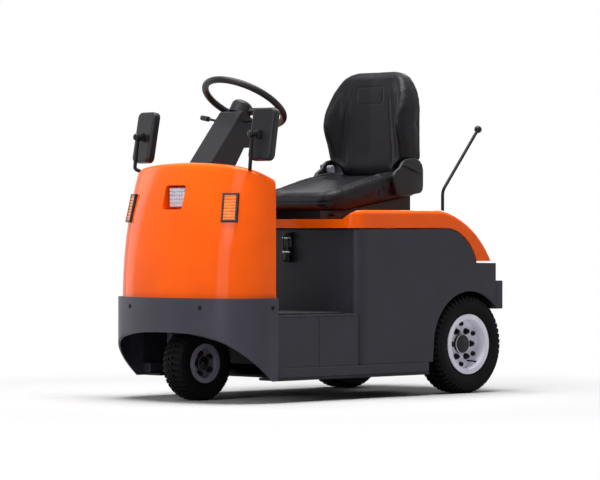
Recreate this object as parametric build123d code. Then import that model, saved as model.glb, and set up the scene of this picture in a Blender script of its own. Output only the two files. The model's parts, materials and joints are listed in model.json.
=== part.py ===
import os
from math import asin, atan2, cos, degrees, radians, sin, sqrt, tan

from build123d import *

# Three-wheeled electric tow tractor, in millimetres.
# +X is forward, +Y the driver's left, +Z up and Z = 0 the floor. Stations along X are measured
# from the rear axle, and the finished pieces are moved so that the origin is under the middle.

# Wheels
wheelbase = 1100
rear_track = 630
rear_tyre_d = 383
rear_tyre_w = 118
rear_flange_d = 233.5
rear_dish = 43
rear_hub_d = 76
rear_stub_d = 44
front_tyre_d = 278
front_tyre_w = 104
front_flange_d = 147
front_dish = 22
front_hub_d = 56
front_stub_d = 30
rim_wall = 8
rim_flange_h = 11
rim_flange_t = 5
bead_in = 10
shoulder = 16
tyre_belly = 28
lug_h = 7
lug_side = 24
lug_share = 0.6
tread_rib_w = 18
rear_lugs = 28
front_lugs = 26
hub_cap_t = 12
hub_deep = 40
flange_t = 8
disc_t = 10

# Clearances
running_fit = 0.05
seat_gap = 0.3
seam = 5
panel_gap = 2

# Body
body_half = 377
panel_t = 8
floor_z = 81
floor_t = 10
sill_top = 129
sill_w = 50
sill_proud = 3
step_top = 322
step_t = 8
step_split_x = 829
mat_t = 4
mat_margin = 30
well_rear = 874
well_half = body_half - 105
wall_front = 623
wall_corner_r = 40
wall_return = 4

# Nose: skirt, hood and what they carry
skirt_front = 1285
skirt_front_r = 950
skirt_corner_r = 180
skirt_rear = 1040
skirt_top = 386
skirt_t = 8
ledge_w = 45
arch_foot_x = 1068
arch_angle = 41
arch_top = 260
arch_round = 50
hood_inset = 17
hood_rear = 1037
hood_lean_r = 1425
hood_section_low = 180
hood_section_mid = 350
hood_section_over = 60
hood_t = 5
hood_high_x = 1180
hood_high_z = 900
hood_slope = 0.5
hood_edge_r = 24
dash_t = 12

# Lamps
lamp_w = 110
lamp_h = 90
lamp_z = 758
lamp_corner_r = 12
pocket_wall = 4
pocket_depth = 70
lens_w = 84
lens_h = 71
lens_back = 16
blinker = {"z": 719, "turn": 27, "w": 64, "h": 110, "depth": 36}
blinker_proud = 4
blinker_rim = 4
tail_lamp = {"y": body_half - 77, "w": 70, "h": 34, "t": 14}

# Mirrors
mirror_x = 1066
mirror_y = body_half - 53
mirror_z = 989
mirror_w = 110
mirror_h = 196
mirror_t = 30
mirror_yaw = 6
mirror_lean = 10
mirror_arm_d = 14
mirror_corner_r = 22
mirror_rim = 6
mirror_glass_t = 4
mirror_bend_r = 14
mirror_foot = (1096, body_half - 95, 850)
mirror_bend = (1129, body_half - 59, 868)
mirror_top = (1115, body_half - 63, 990)

# Steering
wheel_x = 855.5
wheel_z = 1120.6
wheel_tilt = 31
wheel_r = 160
wheel_tube_d = 26
spoke_angle = 115
spoke_w = 34
spoke_t = 14
hub_d = 84
hub_drop = 30
column_half = 60
column_drop = 62
shaft_d = 22
stalk_d = 10
stalk_knob_d = 20
column_front = 40
column_back = 40
column_foot_x = 1105
column_foot_z = 863
column_low_z = 740
column_chin = 20
column_chin_z = 947
column_r = 12
stalk_x = 905
stalk_z = 1045
stalk_back = 10
stalk_rise = 18
stalk_reach = 175
stalk_knob_l = 40
cap_h = 26
head_z = 334
head_t = 12
head_x_front = 1180
kingpin_d = 60
head_tube_d = 96
leg_collar_d = 80
leg_head_z = 288
leg_head_t = 20
leg_head_half = 70
leg_inner_y = 86
leg_t = 30
leg_half = 45

# Pedals
pedal_reach = 60
pedal_z = 400
pedal_h = 80
pedal_t = 10
pedal_tilt = 25
brake_y = 60
brake_w = 90
gas_y = -120
gas_w = 60

# Rear body
arch_r = rear_tyre_d / 2 + 14.5
arch_foot = arch_r + 9
sill_rear = arch_r + 29
panel_arc_x = 146
panel_bulge = 38
body_rear = 55.4 - arch_r
bumper_rear = body_rear - 45.4
bumper_low = rear_tyre_d / 2 + 135.5
bumper_high = bumper_low + 111
ledge_z = bumper_high + 69
panel_tail_x = body_rear + 111.6
bumper_r = 12
frame_plate_y = (rear_track - rear_tyre_w) / 2 - 34
frame_plate_t = 8
frame_top = ledge_z - 27
frame_front = 300
axle_beam_d = 84
gearbox_d = 190
gearbox_w = 150
motor_d = 150
motor_w = 130
battery = {"x0": 312, "x1": 600, "half": body_half - 77, "z1": 600}

# Latch on the wall
latch_t = 9
latch_y = 10
latch_w = 36
latch_h = 116
latch_z = 571

# Tow coupling
tow_plate_t = 14
tow_plate_half = 80
jaw_reach = 70
jaw_half = 55
jaw_t = 18
jaw_mouth = 60
jaw_z = bumper_low + 55
tow_bore_d = 26
tow_bore_in = 33
jaw_corner_r = 27

# Deck cover, which carries the seat
deck_front = 640
deck_low = 644.5
deck_floor = 678
deck_rim = 713
deck_t = 6
deck_floor_half = body_half - 66
deck_rim_half = body_half - 12
deck_arc_x = 150
deck_tail_x = body_rear + 19.6
deck_tail_z = ledge_z + 8
deck_bulge = 38
tail_lean = 1.6
deck_brow_r = 150
deck_corner_r = 60
deck_edge_r = 18
hinge_back = 10
hinge_rise = 8
hinge_pin_d = 10
hinge_knuckle_d = 20
hinge_y = 220
knuckle_w = 30
hinge_lug_t = 8
hinge_lug_d = 18
hinge_side_gap = 0.5

# Seat
seat_half = 207
seat_front = 600
seat_rear = 98
seat_low = 711
seat_low_rear = 773
back_rear = 102
back_t = 88
back_top = 1259
seat_flat = 110
seat_top_front = 786
seat_top_mid = 812
seat_top_rear = 860
back_low = seat_top_rear + seat_gap
seat_hip_x = 240
seat_mid_x = 450
seat_nose_r = 14
seat_lip_r = 24
seat_bend_r = 60
seat_side_r = 13
dish_half = 172
dish_wall = 40
dish_depth = 20
dish_rear = 200
back_low_half = seat_half - 17
back_top_half = seat_half - 61
back_low_r = 30
back_wing_r = 60
back_top_r = 50
back_edge_r = 30
back_face_r = 14
wing_w = 56
wing_root = 44
wing_low = 910
wing_high = 1193
wing_foot_r = 20
wing_nose_r = 30
rail_in = 20
rail_rear = 120
cover_front = 200
cover_top = 919
cover_r = 30
cover_edge_r = 9
wing_x = 228
wing_z = 1043
rail_y = seat_half - 57
rail_w = 40
cover_t = 16
lever_d = 12.5
lever_y = body_half - 77
lever_ball_d = 30
lever_foot_x = 75
lever_bend_z = 789
lever_ball_x = -130
lever_ball_z = 1033
lever_bend_r = 50
lever_boot_h = 20

# What follows from the sizes above
front_axle_x = wheelbase
tow_rear = bumper_rear - jaw_reach
middle_x = (skirt_front + tow_rear) / 2
sill_half = body_half + sill_proud
inner_half = body_half - panel_t
wall_top = deck_low - seam
wheel_axis = (-sin(radians(wheel_tilt)), 0, cos(radians(wheel_tilt)))
wheel_plane = Plane(
    origin=(wheel_x, 0, wheel_z),
    x_dir=(cos(radians(wheel_tilt)), 0, sin(radians(wheel_tilt))),
    z_dir=wheel_axis,
)
hinge_x = deck_tail_x - hinge_back
hinge_z = deck_tail_z + hinge_rise


# Helpers
def block(x0, x1, y0, y1, z0, z1):
    middle = Pos((x0 + x1) / 2, (y0 + y1) / 2, (z0 + z1) / 2)
    return middle * Box(x1 - x0, y1 - y0, z1 - z0)


def outline(points, radii=None):
    if radii is None:
        return make_face(Polyline(*points, close=True))
    return make_face(FilletPolyline(*points, radius=radii, close=True))


def across(face, y0, y1):
    # A side view outline (x, z), made solid from y0 to y1
    return extrude(Plane.XZ.offset(-y1) * face, amount=y1 - y0)


def along(face, x0, x1):
    # A front view outline (y, z), made solid from x0 to x1
    return extrude(Plane.YZ.offset(x0) * face, amount=x1 - x0)


def rod_y(x, z, y0, y1, diameter):
    return Pos(x, (y0 + y1) / 2, z) * Rot(90, 0, 0) * Cylinder(diameter / 2, y1 - y0)


def tube(points, radii, diameter):
    path = FilletPolyline(*points, radius=radii)
    return sweep((path ^ 0) * Circle(diameter / 2), path=path)


def both_sides(shape):
    return [shape, mirror(shape, about=Plane.XZ)]


def save(name, *shapes):
    solids = [solid for shape in shapes for solid in shape.solids()]
    moved = [Pos(-middle_x, 0, 0) * solid for solid in solids]
    export_step(Compound(children=moved) if len(moved) > 1 else moved[0], f"parts/{name}.step")


def nose_corner(inset, back):
    # The middle of the left corner's round
    corner_r = skirt_corner_r - inset
    corner_y = body_half - inset - corner_r
    reach = skirt_front_r - inset - corner_r
    return skirt_front - skirt_front_r - back + sqrt(reach**2 - corner_y**2), corner_y


def nose_plan(inset, back=0.0, rear=skirt_rear):
    # The nose seen from above: flat sides, round corners and a bowed front, moved back by `back`
    front_r = skirt_front_r - inset
    corner_r = skirt_corner_r - inset
    half = body_half - inset
    bow_x = skirt_front - skirt_front_r - back
    corner_x, corner_y = nose_corner(inset, back)
    end_turn = atan2(corner_y, corner_x - bow_x)
    mid_turn = (end_turn + radians(90)) / 2
    bow_end = (bow_x + front_r * cos(end_turn), front_r * sin(end_turn))
    bow_mid = (bow_x + front_r, 0)
    round_mid = (corner_x + corner_r * cos(mid_turn), corner_y + corner_r * sin(mid_turn))
    edges = [
        Line((rear, half), (corner_x, half)),
        ThreePointArc((corner_x, half), round_mid, bow_end),
        ThreePointArc(bow_end, bow_mid, (bow_end[0], -bow_end[1])),
        ThreePointArc((bow_end[0], -bow_end[1]), (round_mid[0], -round_mid[1]), (corner_x, -half)),
        Line((corner_x, -half), (rear, -half)),
        Line((rear, -half), (rear, half)),
    ]
    return make_face(edges)


def nose_block(inset, z0, z1):
    return extrude(Pos(0, 0, z0) * nose_plan(inset), amount=z1 - z0)


# Floor: a plate with a bay for the front wheel, and the sills along its edges
def make_floor():
    bay = block(well_rear, skirt_front, -well_half, well_half, 0, sill_top)
    plate = block(sill_rear, skirt_rear, -sill_half, sill_half, floor_z, floor_z + floor_t)
    sill = block(sill_rear, skirt_rear, sill_half - sill_w, sill_half, floor_z + floor_t, sill_top)
    save("floor_plate", plate - bay)
    save("side_sills", *both_sides(sill))


# Step: the low box under the driver's feet
def make_step():
    panels = []
    for x0, x1 in ((wall_front, step_split_x), (step_split_x + panel_gap, skirt_rear)):
        panels += both_sides(block(x0, x1, inner_half, body_half, sill_top, step_top - step_t))
    save("step_panels", *panels)
    save("step_floor", block(wall_front, skirt_rear, -body_half, body_half, step_top - step_t, step_top))
    mat = block(
        wall_front + mat_margin, hood_rear - dash_t - mat_margin,
        -body_half + mat_margin, body_half - mat_margin, step_top, step_top + mat_t,
    )
    save("floor_mat", fillet(mat.edges().filter_by(Axis.Z), mat_margin / 2))
    wall = block(well_rear - panel_t, well_rear, -inner_half, inner_half, sill_top, step_top - step_t)
    save("well_wall", wall)


# Skirt: the bumper plate round the front wheel, folded in at its top
def make_skirt():
    shell = nose_block(0, floor_z, skirt_top)
    shell -= nose_block(skirt_t, floor_z - 1, skirt_top - skirt_t)
    shell -= nose_block(ledge_w, floor_z - 1, skirt_top + 1)
    arch_top_x = arch_foot_x + (arch_top - floor_z) / tan(radians(arch_angle))
    far_x = skirt_front + arch_round
    low_z = floor_z - arch_round
    arch = outline(
        [(arch_foot_x, low_z), (arch_foot_x, floor_z), (arch_top_x, arch_top), (far_x, arch_top),
         (far_x, low_z)],
        [0, 0, arch_round, 0, 0],
    )
    save("front_skirt", shell - across(arch, -body_half - 1, body_half + 1))


def hood_back(z):
    # How far the hood's front has leaned back at height z
    rise = max(z - skirt_top, 0)
    return hood_lean_r - sqrt(hood_lean_r**2 - rise**2)


# Hood: a shell whose front leans back, with a top that falls towards the driver
def hood_form(inset, drop):
    base = skirt_top - drop
    sections = []
    middle = (skirt_top + hood_section_low, skirt_top + hood_section_mid)
    for z in (base, *middle, hood_high_z + hood_section_over):
        sections.append(Pos(0, 0, z) * nose_plan(inset, hood_back(z), hood_rear - skirt_corner_r))
    form = loft(sections)
    near_z = hood_high_z - drop - hood_slope * (hood_high_x - hood_rear)
    far_z = near_z + hood_slope * (skirt_front - hood_rear)
    rear = hood_rear - (2 * hood_t if drop else 0)
    near_z -= hood_slope * (hood_rear - rear)
    keep = outline([(rear, base), (rear, near_z), (skirt_front, far_z), (skirt_front, base)])
    return form & across(keep, -body_half, body_half)


def round_brow(form, radius):
    top = form.faces().sort_by(Axis.Z)[-1]
    rear = top.bounding_box().min.X
    return fillet([edge for edge in top.edges() if edge.center().X > rear + 1], radius)


def make_hood():
    outer = round_brow(hood_form(hood_inset, 0), hood_edge_r)
    inner = round_brow(hood_form(hood_inset + hood_t, hood_t), hood_edge_r - hood_t)
    shell = outer - inner
    window = outline(
        [(-lamp_w / 2, lamp_z - lamp_h / 2), (lamp_w / 2, lamp_z - lamp_h / 2),
         (lamp_w / 2, lamp_z + lamp_h / 2), (-lamp_w / 2, lamp_z + lamp_h / 2)],
        lamp_corner_r,
    )
    shell -= along(window, hood_high_x, skirt_front)
    for box in both_sides(blinker_box(0, 0)):
        shell -= box
    save("hood", shell)
    return outer, inner


# Indicator lamps at the hood's corners
def blinker_box(margin, sink):
    depth = blinker["depth"] - sink
    size = Box(depth, blinker["w"] - 2 * margin, blinker["h"] - 2 * margin)
    turn = radians(blinker["turn"])
    rise = blinker["z"] - skirt_top
    corner_x, corner_y = nose_corner(hood_inset, hood_back(blinker["z"]))
    corner_r = skirt_corner_r - hood_inset
    x = corner_x + corner_r * cos(turn)
    y = corner_y + corner_r * sin(turn)
    lean = degrees(asin(rise / hood_lean_r)) * cos(turn)
    place = Pos(x, y, blinker["z"]) * Rot(0, 0, blinker["turn"]) * Rot(0, -lean, 0)
    return place * Pos(blinker_proud - depth / 2, 0, 0) * size


def make_lamps(inner):
    bezel = blinker_box(0, 0)
    lens = blinker_box(blinker_rim, blinker["depth"] / 2)
    save("indicator_bezels", *both_sides(bezel - lens))
    save("indicator_lenses", *both_sides(lens))
    half_w = lamp_w / 2 + pocket_wall
    half_h = lamp_h / 2 + pocket_wall
    front_x = skirt_front
    back_x = hood_high_x - pocket_depth / 2
    body = block(back_x, front_x, -half_w, half_w, lamp_z - half_h, lamp_z + half_h)
    hollow = block(
        back_x + pocket_wall, front_x, -lamp_w / 2, lamp_w / 2, lamp_z - lamp_h / 2, lamp_z + lamp_h / 2
    )
    save("headlight_pocket", (body - hollow) & inner)
    lens_x = hood_high_x + lens_back
    save("headlight_lens", block(
        back_x + pocket_wall, lens_x, -lens_w / 2, lens_w / 2, lamp_z - lens_h / 2, lamp_z + lens_h / 2
    ))
    lamp_low = (bumper_high + ledge_z) / 2 - tail_lamp["h"] / 2
    lamp = block(
        body_rear - tail_lamp["t"], body_rear, tail_lamp["y"] - tail_lamp["w"] / 2,
        tail_lamp["y"] + tail_lamp["w"] / 2, lamp_low, lamp_low + tail_lamp["h"],
    )
    save("tail_lamps", *both_sides(lamp))


# Dash: the plate that closes the hood towards the driver, and the toe board under it
def make_dash(inner):
    toe_half = body_half - ledge_w - panel_gap
    slab = block(hood_rear, hood_rear + dash_t, -body_half, body_half, skirt_top, hood_high_z)
    toe = block(hood_rear, hood_rear + dash_t, -toe_half, toe_half, step_top, skirt_top)
    save("dash_panel", (inner & slab) + toe)


# Steering column, cut to the hood's top and the dash, with the shaft on its end
def make_column(outer):
    top_mid = wheel_plane.from_local_coords(Vector(0, 0, -column_drop))
    run = wheel_plane.x_dir
    top_front = top_mid + run * column_front
    top_rear = top_mid - run * column_back
    points = [
        (hood_rear + dash_t, column_low_z), (hood_high_x - pocket_depth, hood_high_z - pocket_depth),
        (column_foot_x, column_foot_z), (top_front.X, top_front.Z), (top_rear.X, top_rear.Z),
        (top_rear.X + column_chin, column_chin_z), (top_rear.X + 3 * column_chin, column_chin_z),
    ]
    box = across(outline(points, [0, 0, 0, column_r, column_r, column_r, 0]), -column_half, column_half)
    keep_out = block(hood_rear, skirt_front, -body_half, body_half, 0, hood_high_z) & outer
    shaft = Pos(0, 0, -(column_drop + hub_drop) / 2) * Cylinder(shaft_d / 2, column_drop - hub_drop)
    shaft = wheel_plane * shaft
    save("steering_column", (box - keep_out) + shaft)
    stalks = []
    for side in (-1, 1):
        root = Vector(stalk_x, side * column_half, stalk_z)
        tip = Vector(stalk_x - stalk_back, side * stalk_reach, stalk_z + stalk_rise)
        stem = Plane(origin=root, z_dir=tip - root)
        length = (tip - root).length
        stalks.append(stem * Pos(0, 0, length / 2) * Cylinder(stalk_d / 2, length)
                      + stem * Pos(0, 0, length) * Cylinder(stalk_knob_d / 2, stalk_knob_l)
                      - block(0, skirt_front, -column_half, column_half, 0, wheel_z))
    save("column_stalks", *stalks)


# Steering wheel: a rim on two dished spokes, and the cap over its hub
def make_steering_wheel():
    low = -column_drop + panel_gap
    ring = Torus(wheel_r, wheel_tube_d / 2)
    boss = Pos(0, 0, (low - hub_drop) / 2) * Cylinder(hub_d / 2, -hub_drop - low)
    spoke = outline([
        (hub_d / 4, -hub_drop - spoke_t), (hub_d / 4, -hub_drop),
        (wheel_r, spoke_t / 2), (wheel_r, -spoke_t / 2),
    ])
    wheel = ring + boss
    for side in (-1, 1):
        wheel += Rot(0, 0, side * spoke_angle) * across(spoke, -spoke_w / 2, spoke_w / 2)
    wheel -= Pos(0, 0, -column_drop) * Cylinder(shaft_d / 2 + running_fit, column_drop * 2)
    save("steering_wheel", wheel_plane * wheel)
    cap = Pos(0, 0, -hub_drop + cap_h / 2) * Cylinder(hub_d / 2, cap_h)
    for side in (-1, 1):
        cap -= Rot(0, 0, side * spoke_angle) * across(spoke, -spoke_w / 2, spoke_w / 2)
    cap = fillet(cap.edges().filter_by(GeomType.CIRCLE).sort_by(Axis.Z)[-1], cap_h * 0.7)
    save("steering_hub", wheel_plane * cap)


# Mirrors on bent arms at the hood's corners
def make_mirrors(outer):
    turn = Pos(mirror_x, mirror_y, mirror_z) * Rot(0, 0, mirror_yaw) * Rot(0, -mirror_lean, 0)
    shell = Box(mirror_t, mirror_w, mirror_h)
    shell = fillet(shell.edges().filter_by(Axis.X), mirror_corner_r)
    shell = fillet(shell.edges().group_by(Axis.X)[-1], mirror_t / 3)
    glass = Box(mirror_glass_t, mirror_w - 2 * mirror_rim, mirror_h - 2 * mirror_rim)
    glass = fillet(glass.edges().filter_by(Axis.X), mirror_corner_r - mirror_rim)
    glass = Pos(-mirror_t / 2 + mirror_glass_t / 2, 0, 0) * glass
    housing = turn * (shell - glass)
    reach = (mirror_x, mirror_y, mirror_z)
    arm = tube([mirror_foot, mirror_bend, mirror_top, reach], [mirror_bend_r, mirror_bend_r], mirror_arm_d)
    arm = arm - outer - turn * shell
    arm = arm.solids().sort_by(SortBy.VOLUME)[-1]
    save("mirror_arms", *both_sides(arm))
    save("mirror_housings", *both_sides(housing))
    save("mirror_glasses", *both_sides(turn * glass))


# Pedals on the toe board
def make_pedals():
    for name, y, width in (("brake_pedal", brake_y, brake_w), ("accelerator_pedal", gas_y, gas_w)):
        pad = Pos(hood_rear - pedal_reach, y, pedal_z) * Rot(0, pedal_tilt, 0) * Box(pedal_t, width, pedal_h)
        stem = block(hood_rear - pedal_reach, hood_rear, y - pedal_t, y + pedal_t, pedal_z, pedal_z + pedal_t)
        save(name, fillet(pad.edges().filter_by(Axis.Y), pedal_t / 4) + stem)


# Steering head: the plate and tube that hold the front wheel's leg
def make_head():
    plate = nose_block(skirt_t + seat_gap, head_z, head_z + head_t)
    head_rear = hood_rear + dash_t + panel_gap
    plate &= block(head_rear, head_x_front, -body_half, body_half, head_z, head_z + head_t)
    post = Pos(front_axle_x, 0, (head_z + skirt_top) / 2) * Cylinder(head_tube_d / 2, skirt_top - head_z)
    bore = Pos(front_axle_x, 0, head_z) * Cylinder(kingpin_d / 2 + running_fit, 2 * skirt_top)
    hangers = []
    for side in (-1, 1):
        y0, y1 = sorted((side * (body_half - ledge_w + head_t), side * (body_half - ledge_w + 2 * head_t)))
        hangers.append(block(head_rear, front_axle_x, y0, y1, head_z + head_t, skirt_top - skirt_t))
    head = plate + post - bore
    for hanger in hangers:
        head += hanger
    save("steering_head", head)


# Leg: turns in the head and carries the front wheel from its right side
def make_leg():
    axle_z = front_tyre_d / 2
    head_top = leg_head_z + leg_head_t
    head = block(
        -leg_head_half, leg_head_half, -leg_inner_y - leg_t, leg_head_half / 2, leg_head_z, head_top
    )
    leg = block(-leg_half, leg_half, -leg_inner_y - leg_t, -leg_inner_y, axle_z, head_top)
    foot = rod_y(0, axle_z, -leg_inner_y - leg_t, -leg_inner_y, 2 * leg_half)
    pin = Pos(0, 0, (head_top + skirt_top) / 2) * Cylinder(kingpin_d / 2, skirt_top - head_top)
    collar = Pos(0, 0, (head_top + head_z - panel_gap) / 2)
    collar *= Cylinder(leg_collar_d / 2, head_z - panel_gap - head_top)
    stub = rod_y(0, axle_z, -leg_inner_y, front_hub_face() - hub_cap_t, front_stub_d)
    flange = rod_y(0, axle_z, -leg_inner_y, -leg_inner_y + flange_t, front_hub_d)
    leg = head + leg + foot + pin + collar + stub + flange
    save("steer_leg", Pos(front_axle_x, 0, 0) * leg)


# Wheels: tyres with flat-sided lugs on each shoulder and a rib round the middle, on dished rims
def ring_face(points):
    return make_face(Polyline(*points, close=True))


def tyre(diameter, width, flange_d, lugs):
    crown = diameter / 2
    half = width / 2
    pitch = radians(360) / lugs
    lug_turn = pitch * lug_share
    bead = (flange_d / 2 - rim_flange_h + seat_gap) / cos(lug_turn / 2)
    low = [
        (bead, half - bead_in), (flange_d / 2 + rim_flange_t, half - bead_in),
        (flange_d / 2 + rim_flange_t + tyre_belly, half), (crown - lug_side, half),
    ]
    lug = [(crown - shoulder, half), (crown, half - shoulder), (crown, tread_rib_w / 2)]
    gap = [(crown - lug_h, half - shoulder), (crown - lug_h, tread_rib_w / 2), (crown, tread_rib_w / 2)]

    def whole(tread):
        side = low + tread
        return side + [(r, -y) for r, y in reversed(side)]

    def station(profile, turn):
        return [(r * cos(turn), y, r * sin(turn)) for r, y in profile]

    faces = []
    for i in range(lugs):
        start = i * pitch - radians(90)
        for profile, turn0, turn1 in (
            (whole(lug), start, start + lug_turn), (whole(gap), start + lug_turn, start + pitch),
        ):
            here = station(profile, turn0)
            there = station(profile, turn1)
            for j, k in zip(range(len(here)), [*range(1, len(here)), 0]):
                faces.append(ring_face([here[j], here[k], there[k], there[j]]))
        for turn in (start, start + lug_turn):
            for side in (-1, 1):
                wall = [low[-1], *lug, *reversed(gap[:-1])]
                faces.append(ring_face(station([(r, side * y) for r, y in wall], turn)))
    body = Solid(Shell(faces))
    return body if body.volume > 0 else Solid(Shell([-face for face in faces]))


def rim(width, flange_d, dish, hub, bore):
    barrel = flange_d / 2 - rim_flange_h
    inside = barrel - rim_wall
    seat = width / 2 - bead_in + seat_gap
    edge = seat + rim_flange_t
    disc = edge - dish
    face = disc + hub_cap_t
    points = [
        (bore, disc - hub_deep), (hub, disc - hub_deep), (hub, disc - disc_t), (inside, disc - disc_t),
        (inside, -edge), (flange_d / 2, -edge), (flange_d / 2, -seat), (barrel, -seat), (barrel, seat),
        (flange_d / 2, seat), (flange_d / 2, edge), (inside, edge), (inside, disc), (hub, disc), (hub, face),
        (bore, face),
    ]
    return revolve(outline(points), axis=Axis.Y)


def front_hub_face():
    return front_tyre_w / 2 - bead_in + seat_gap + rim_flange_t - front_dish + hub_cap_t


def rear_hub_face():
    return rear_tyre_w / 2 - bead_in + seat_gap + rim_flange_t - rear_dish + hub_cap_t


def make_wheels():
    front_place = Pos(front_axle_x, 0, front_tyre_d / 2)
    save("front_tyre", front_place * tyre(front_tyre_d, front_tyre_w, front_flange_d, front_lugs))
    front_bore = front_stub_d / 2 + running_fit
    front_rim = rim(front_tyre_w, front_flange_d, front_dish, front_hub_d / 2, front_bore)
    save("front_rim", front_place * front_rim)
    rear_place = Pos(0, rear_track / 2, rear_tyre_d / 2)
    rear_bore = rear_stub_d / 2 + running_fit
    tyres = both_sides(rear_place * tyre(rear_tyre_d, rear_tyre_w, rear_flange_d, rear_lugs))
    rims = both_sides(rear_place * rim(rear_tyre_w, rear_flange_d, rear_dish, rear_hub_d / 2, rear_bore))
    for side, one_tyre, one_rim in zip(("left", "right"), tyres, rims):
        save(f"rear_tyre_{side}", one_tyre)
        save(f"rear_rim_{side}", one_rim)


# Rear axle: beam, gearbox and motor between the frame plates, with a stub for each wheel
def make_axle():
    axle_z = rear_tyre_d / 2
    beam = rod_y(0, axle_z, -frame_plate_y, frame_plate_y, axle_beam_d)
    gearbox = rod_y(0, axle_z, -gearbox_w / 2, gearbox_w / 2, gearbox_d)
    motor = rod_y(gearbox_d / 2, axle_z + motor_d / 2, -motor_w, motor_w, motor_d)
    axle = beam + gearbox + motor
    stub_end = rear_track / 2 + rear_hub_face() - hub_cap_t
    for y0, y1 in ((frame_plate_y, stub_end), (-stub_end, -frame_plate_y)):
        axle += rod_y(0, axle_z, y0, y1, rear_stub_d)
    save("rear_axle", axle)


# Rear frame plates, bumper and back panel
def make_rear_frame():
    axle_z = rear_tyre_d / 2
    rear = body_rear + panel_t
    points = [
        (frame_front, floor_z + floor_t), (frame_front, frame_top), (rear, frame_top), (rear, bumper_low),
        (rear / 2, sill_top), (sill_rear, sill_top), (sill_rear, floor_z + floor_t),
    ]
    plate = across(outline(points), frame_plate_y, frame_plate_y + frame_plate_t)
    plate -= rod_y(0, axle_z, 0, body_half, rear_stub_d)
    save("rear_frame", *both_sides(plate))
    bumper = block(bumper_rear, body_rear, -body_half, body_half, bumper_low, bumper_high)
    rear_edges = bumper.edges().group_by(Axis.X)[0]
    save("rear_bumper", fillet(rear_edges, bumper_r))
    panel = block(body_rear, rear, -inner_half, inner_half, bumper_low, ledge_z)
    shelf_front = deck_tail_x + 2 * hinge_knuckle_d
    shelf = block(body_rear, shelf_front, -inner_half, inner_half, ledge_z - panel_t, ledge_z)
    save("rear_panel", panel + shelf)
    save("battery_block", block(
        battery["x0"], battery["x1"], -battery["half"], battery["half"], floor_z + floor_t, battery["z1"]
    ))


# Side panels with the wheel arches, and the wall in front of the seat
def make_body_sides():
    axle_z = rear_tyre_d / 2
    corner_x = wall_front - wall_corner_r - wall_return
    arch = across(Pos(0, axle_z) * Circle(arch_r), -body_half - 1, body_half + 1)
    foot = outline([(arch_r, axle_z), (arch_foot, floor_z), (-arch_foot, floor_z), (-arch_foot, axle_z)])
    arch += across(foot, -body_half - 1, body_half + 1)
    edges = [
        Line((corner_x, sill_top), (corner_x, wall_top)),
        Line((corner_x, wall_top), (panel_arc_x, wall_top)),
        SagittaArc((panel_arc_x, wall_top), (panel_tail_x, ledge_z), -panel_bulge),
        Line((panel_tail_x, ledge_z), (body_rear, ledge_z)),
        Line((body_rear, ledge_z), (body_rear, sill_top)),
        Line((body_rear, sill_top), (corner_x, sill_top)),
    ]
    panel = across(make_face(edges), inner_half, body_half) - arch
    left, right = both_sides(panel)
    save("side_panel_left", left)
    save("side_panel_right", right)
    outer = outline(
        [(corner_x, -body_half), (wall_front, -body_half), (wall_front, body_half), (corner_x, body_half)],
        [0, wall_corner_r, wall_corner_r, 0],
    )
    inside_x = wall_front - panel_t
    inner = outline(
        [(corner_x - 1, -inner_half), (inside_x, -inner_half), (inside_x, inner_half),
         (corner_x - 1, inner_half)],
        [0, wall_corner_r - panel_t, wall_corner_r - panel_t, 0],
    )
    wall = extrude(Pos(0, 0, sill_top) * (outer - inner), amount=wall_top - sill_top)
    save("seat_base_wall", wall)
    plate = block(
        wall_front, wall_front + latch_t, latch_y - latch_w / 2, latch_y + latch_w / 2, latch_z - latch_h / 2,
        latch_z + latch_h / 2,
    )
    handle = block(
        wall_front + latch_t, wall_front + 2 * latch_t, latch_y - latch_w / 3, latch_y + latch_w / 3,
        latch_z - latch_h / 2, latch_z,
    )
    save("cover_latch", plate + handle)


# Tow coupling: a plate on the bumper with two jaws and a bore for a drop pin
def make_coupling():
    jaw_high = jaw_z + jaw_mouth / 2 + jaw_t
    jaw_low = jaw_z - jaw_mouth / 2 - jaw_t
    coupling = block(
        bumper_rear - tow_plate_t, bumper_rear, -tow_plate_half, tow_plate_half, bumper_low + bumper_r,
        bumper_high - bumper_r,
    )
    for z0 in (jaw_low, jaw_high - jaw_t):
        jaw = block(tow_rear, bumper_rear, -jaw_half, jaw_half, z0, z0 + jaw_t)
        coupling += fillet(jaw.edges().filter_by(Axis.Z).group_by(Axis.X)[0], jaw_corner_r)
    bore = Pos(tow_rear + tow_bore_in, 0, jaw_z) * Cylinder(tow_bore_d / 2, 4 * jaw_mouth)
    save("tow_coupling", coupling - bore)


# Deck cover: a pressed shell over battery and wheels, low in the middle and curved down at the rear
def deck_side(inset, depth):
    front = deck_front - inset
    rim_z = deck_rim - inset
    tail_x = deck_tail_x + inset * tail_lean
    low = deck_low - depth
    tail_low = deck_tail_z - depth
    edges = [
        Line((front, low), (front, rim_z)),
        Line((front, rim_z), (deck_arc_x, rim_z)),
        SagittaArc((deck_arc_x, rim_z), (tail_x, deck_tail_z), -deck_bulge),
    ]
    if depth:
        edges.append(Line((tail_x, deck_tail_z), (tail_x, tail_low)))
        edges.append(Line((tail_x, tail_low), (front, tail_low)))
        edges.append(Line((front, tail_low), (front, low)))
    else:
        edges.append(Line((tail_x, deck_tail_z), (panel_tail_x, deck_tail_z)))
        edges.append(SagittaArc((panel_tail_x, deck_tail_z), (panel_arc_x, deck_low), panel_bulge))
        edges.append(Line((panel_arc_x, deck_low), (front, low)))
    face = make_face(edges)
    brow = face.vertices().sort_by_distance(Vertex(deck_arc_x, rim_z, 0))[0]
    return fillet(brow, deck_brow_r)


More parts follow.
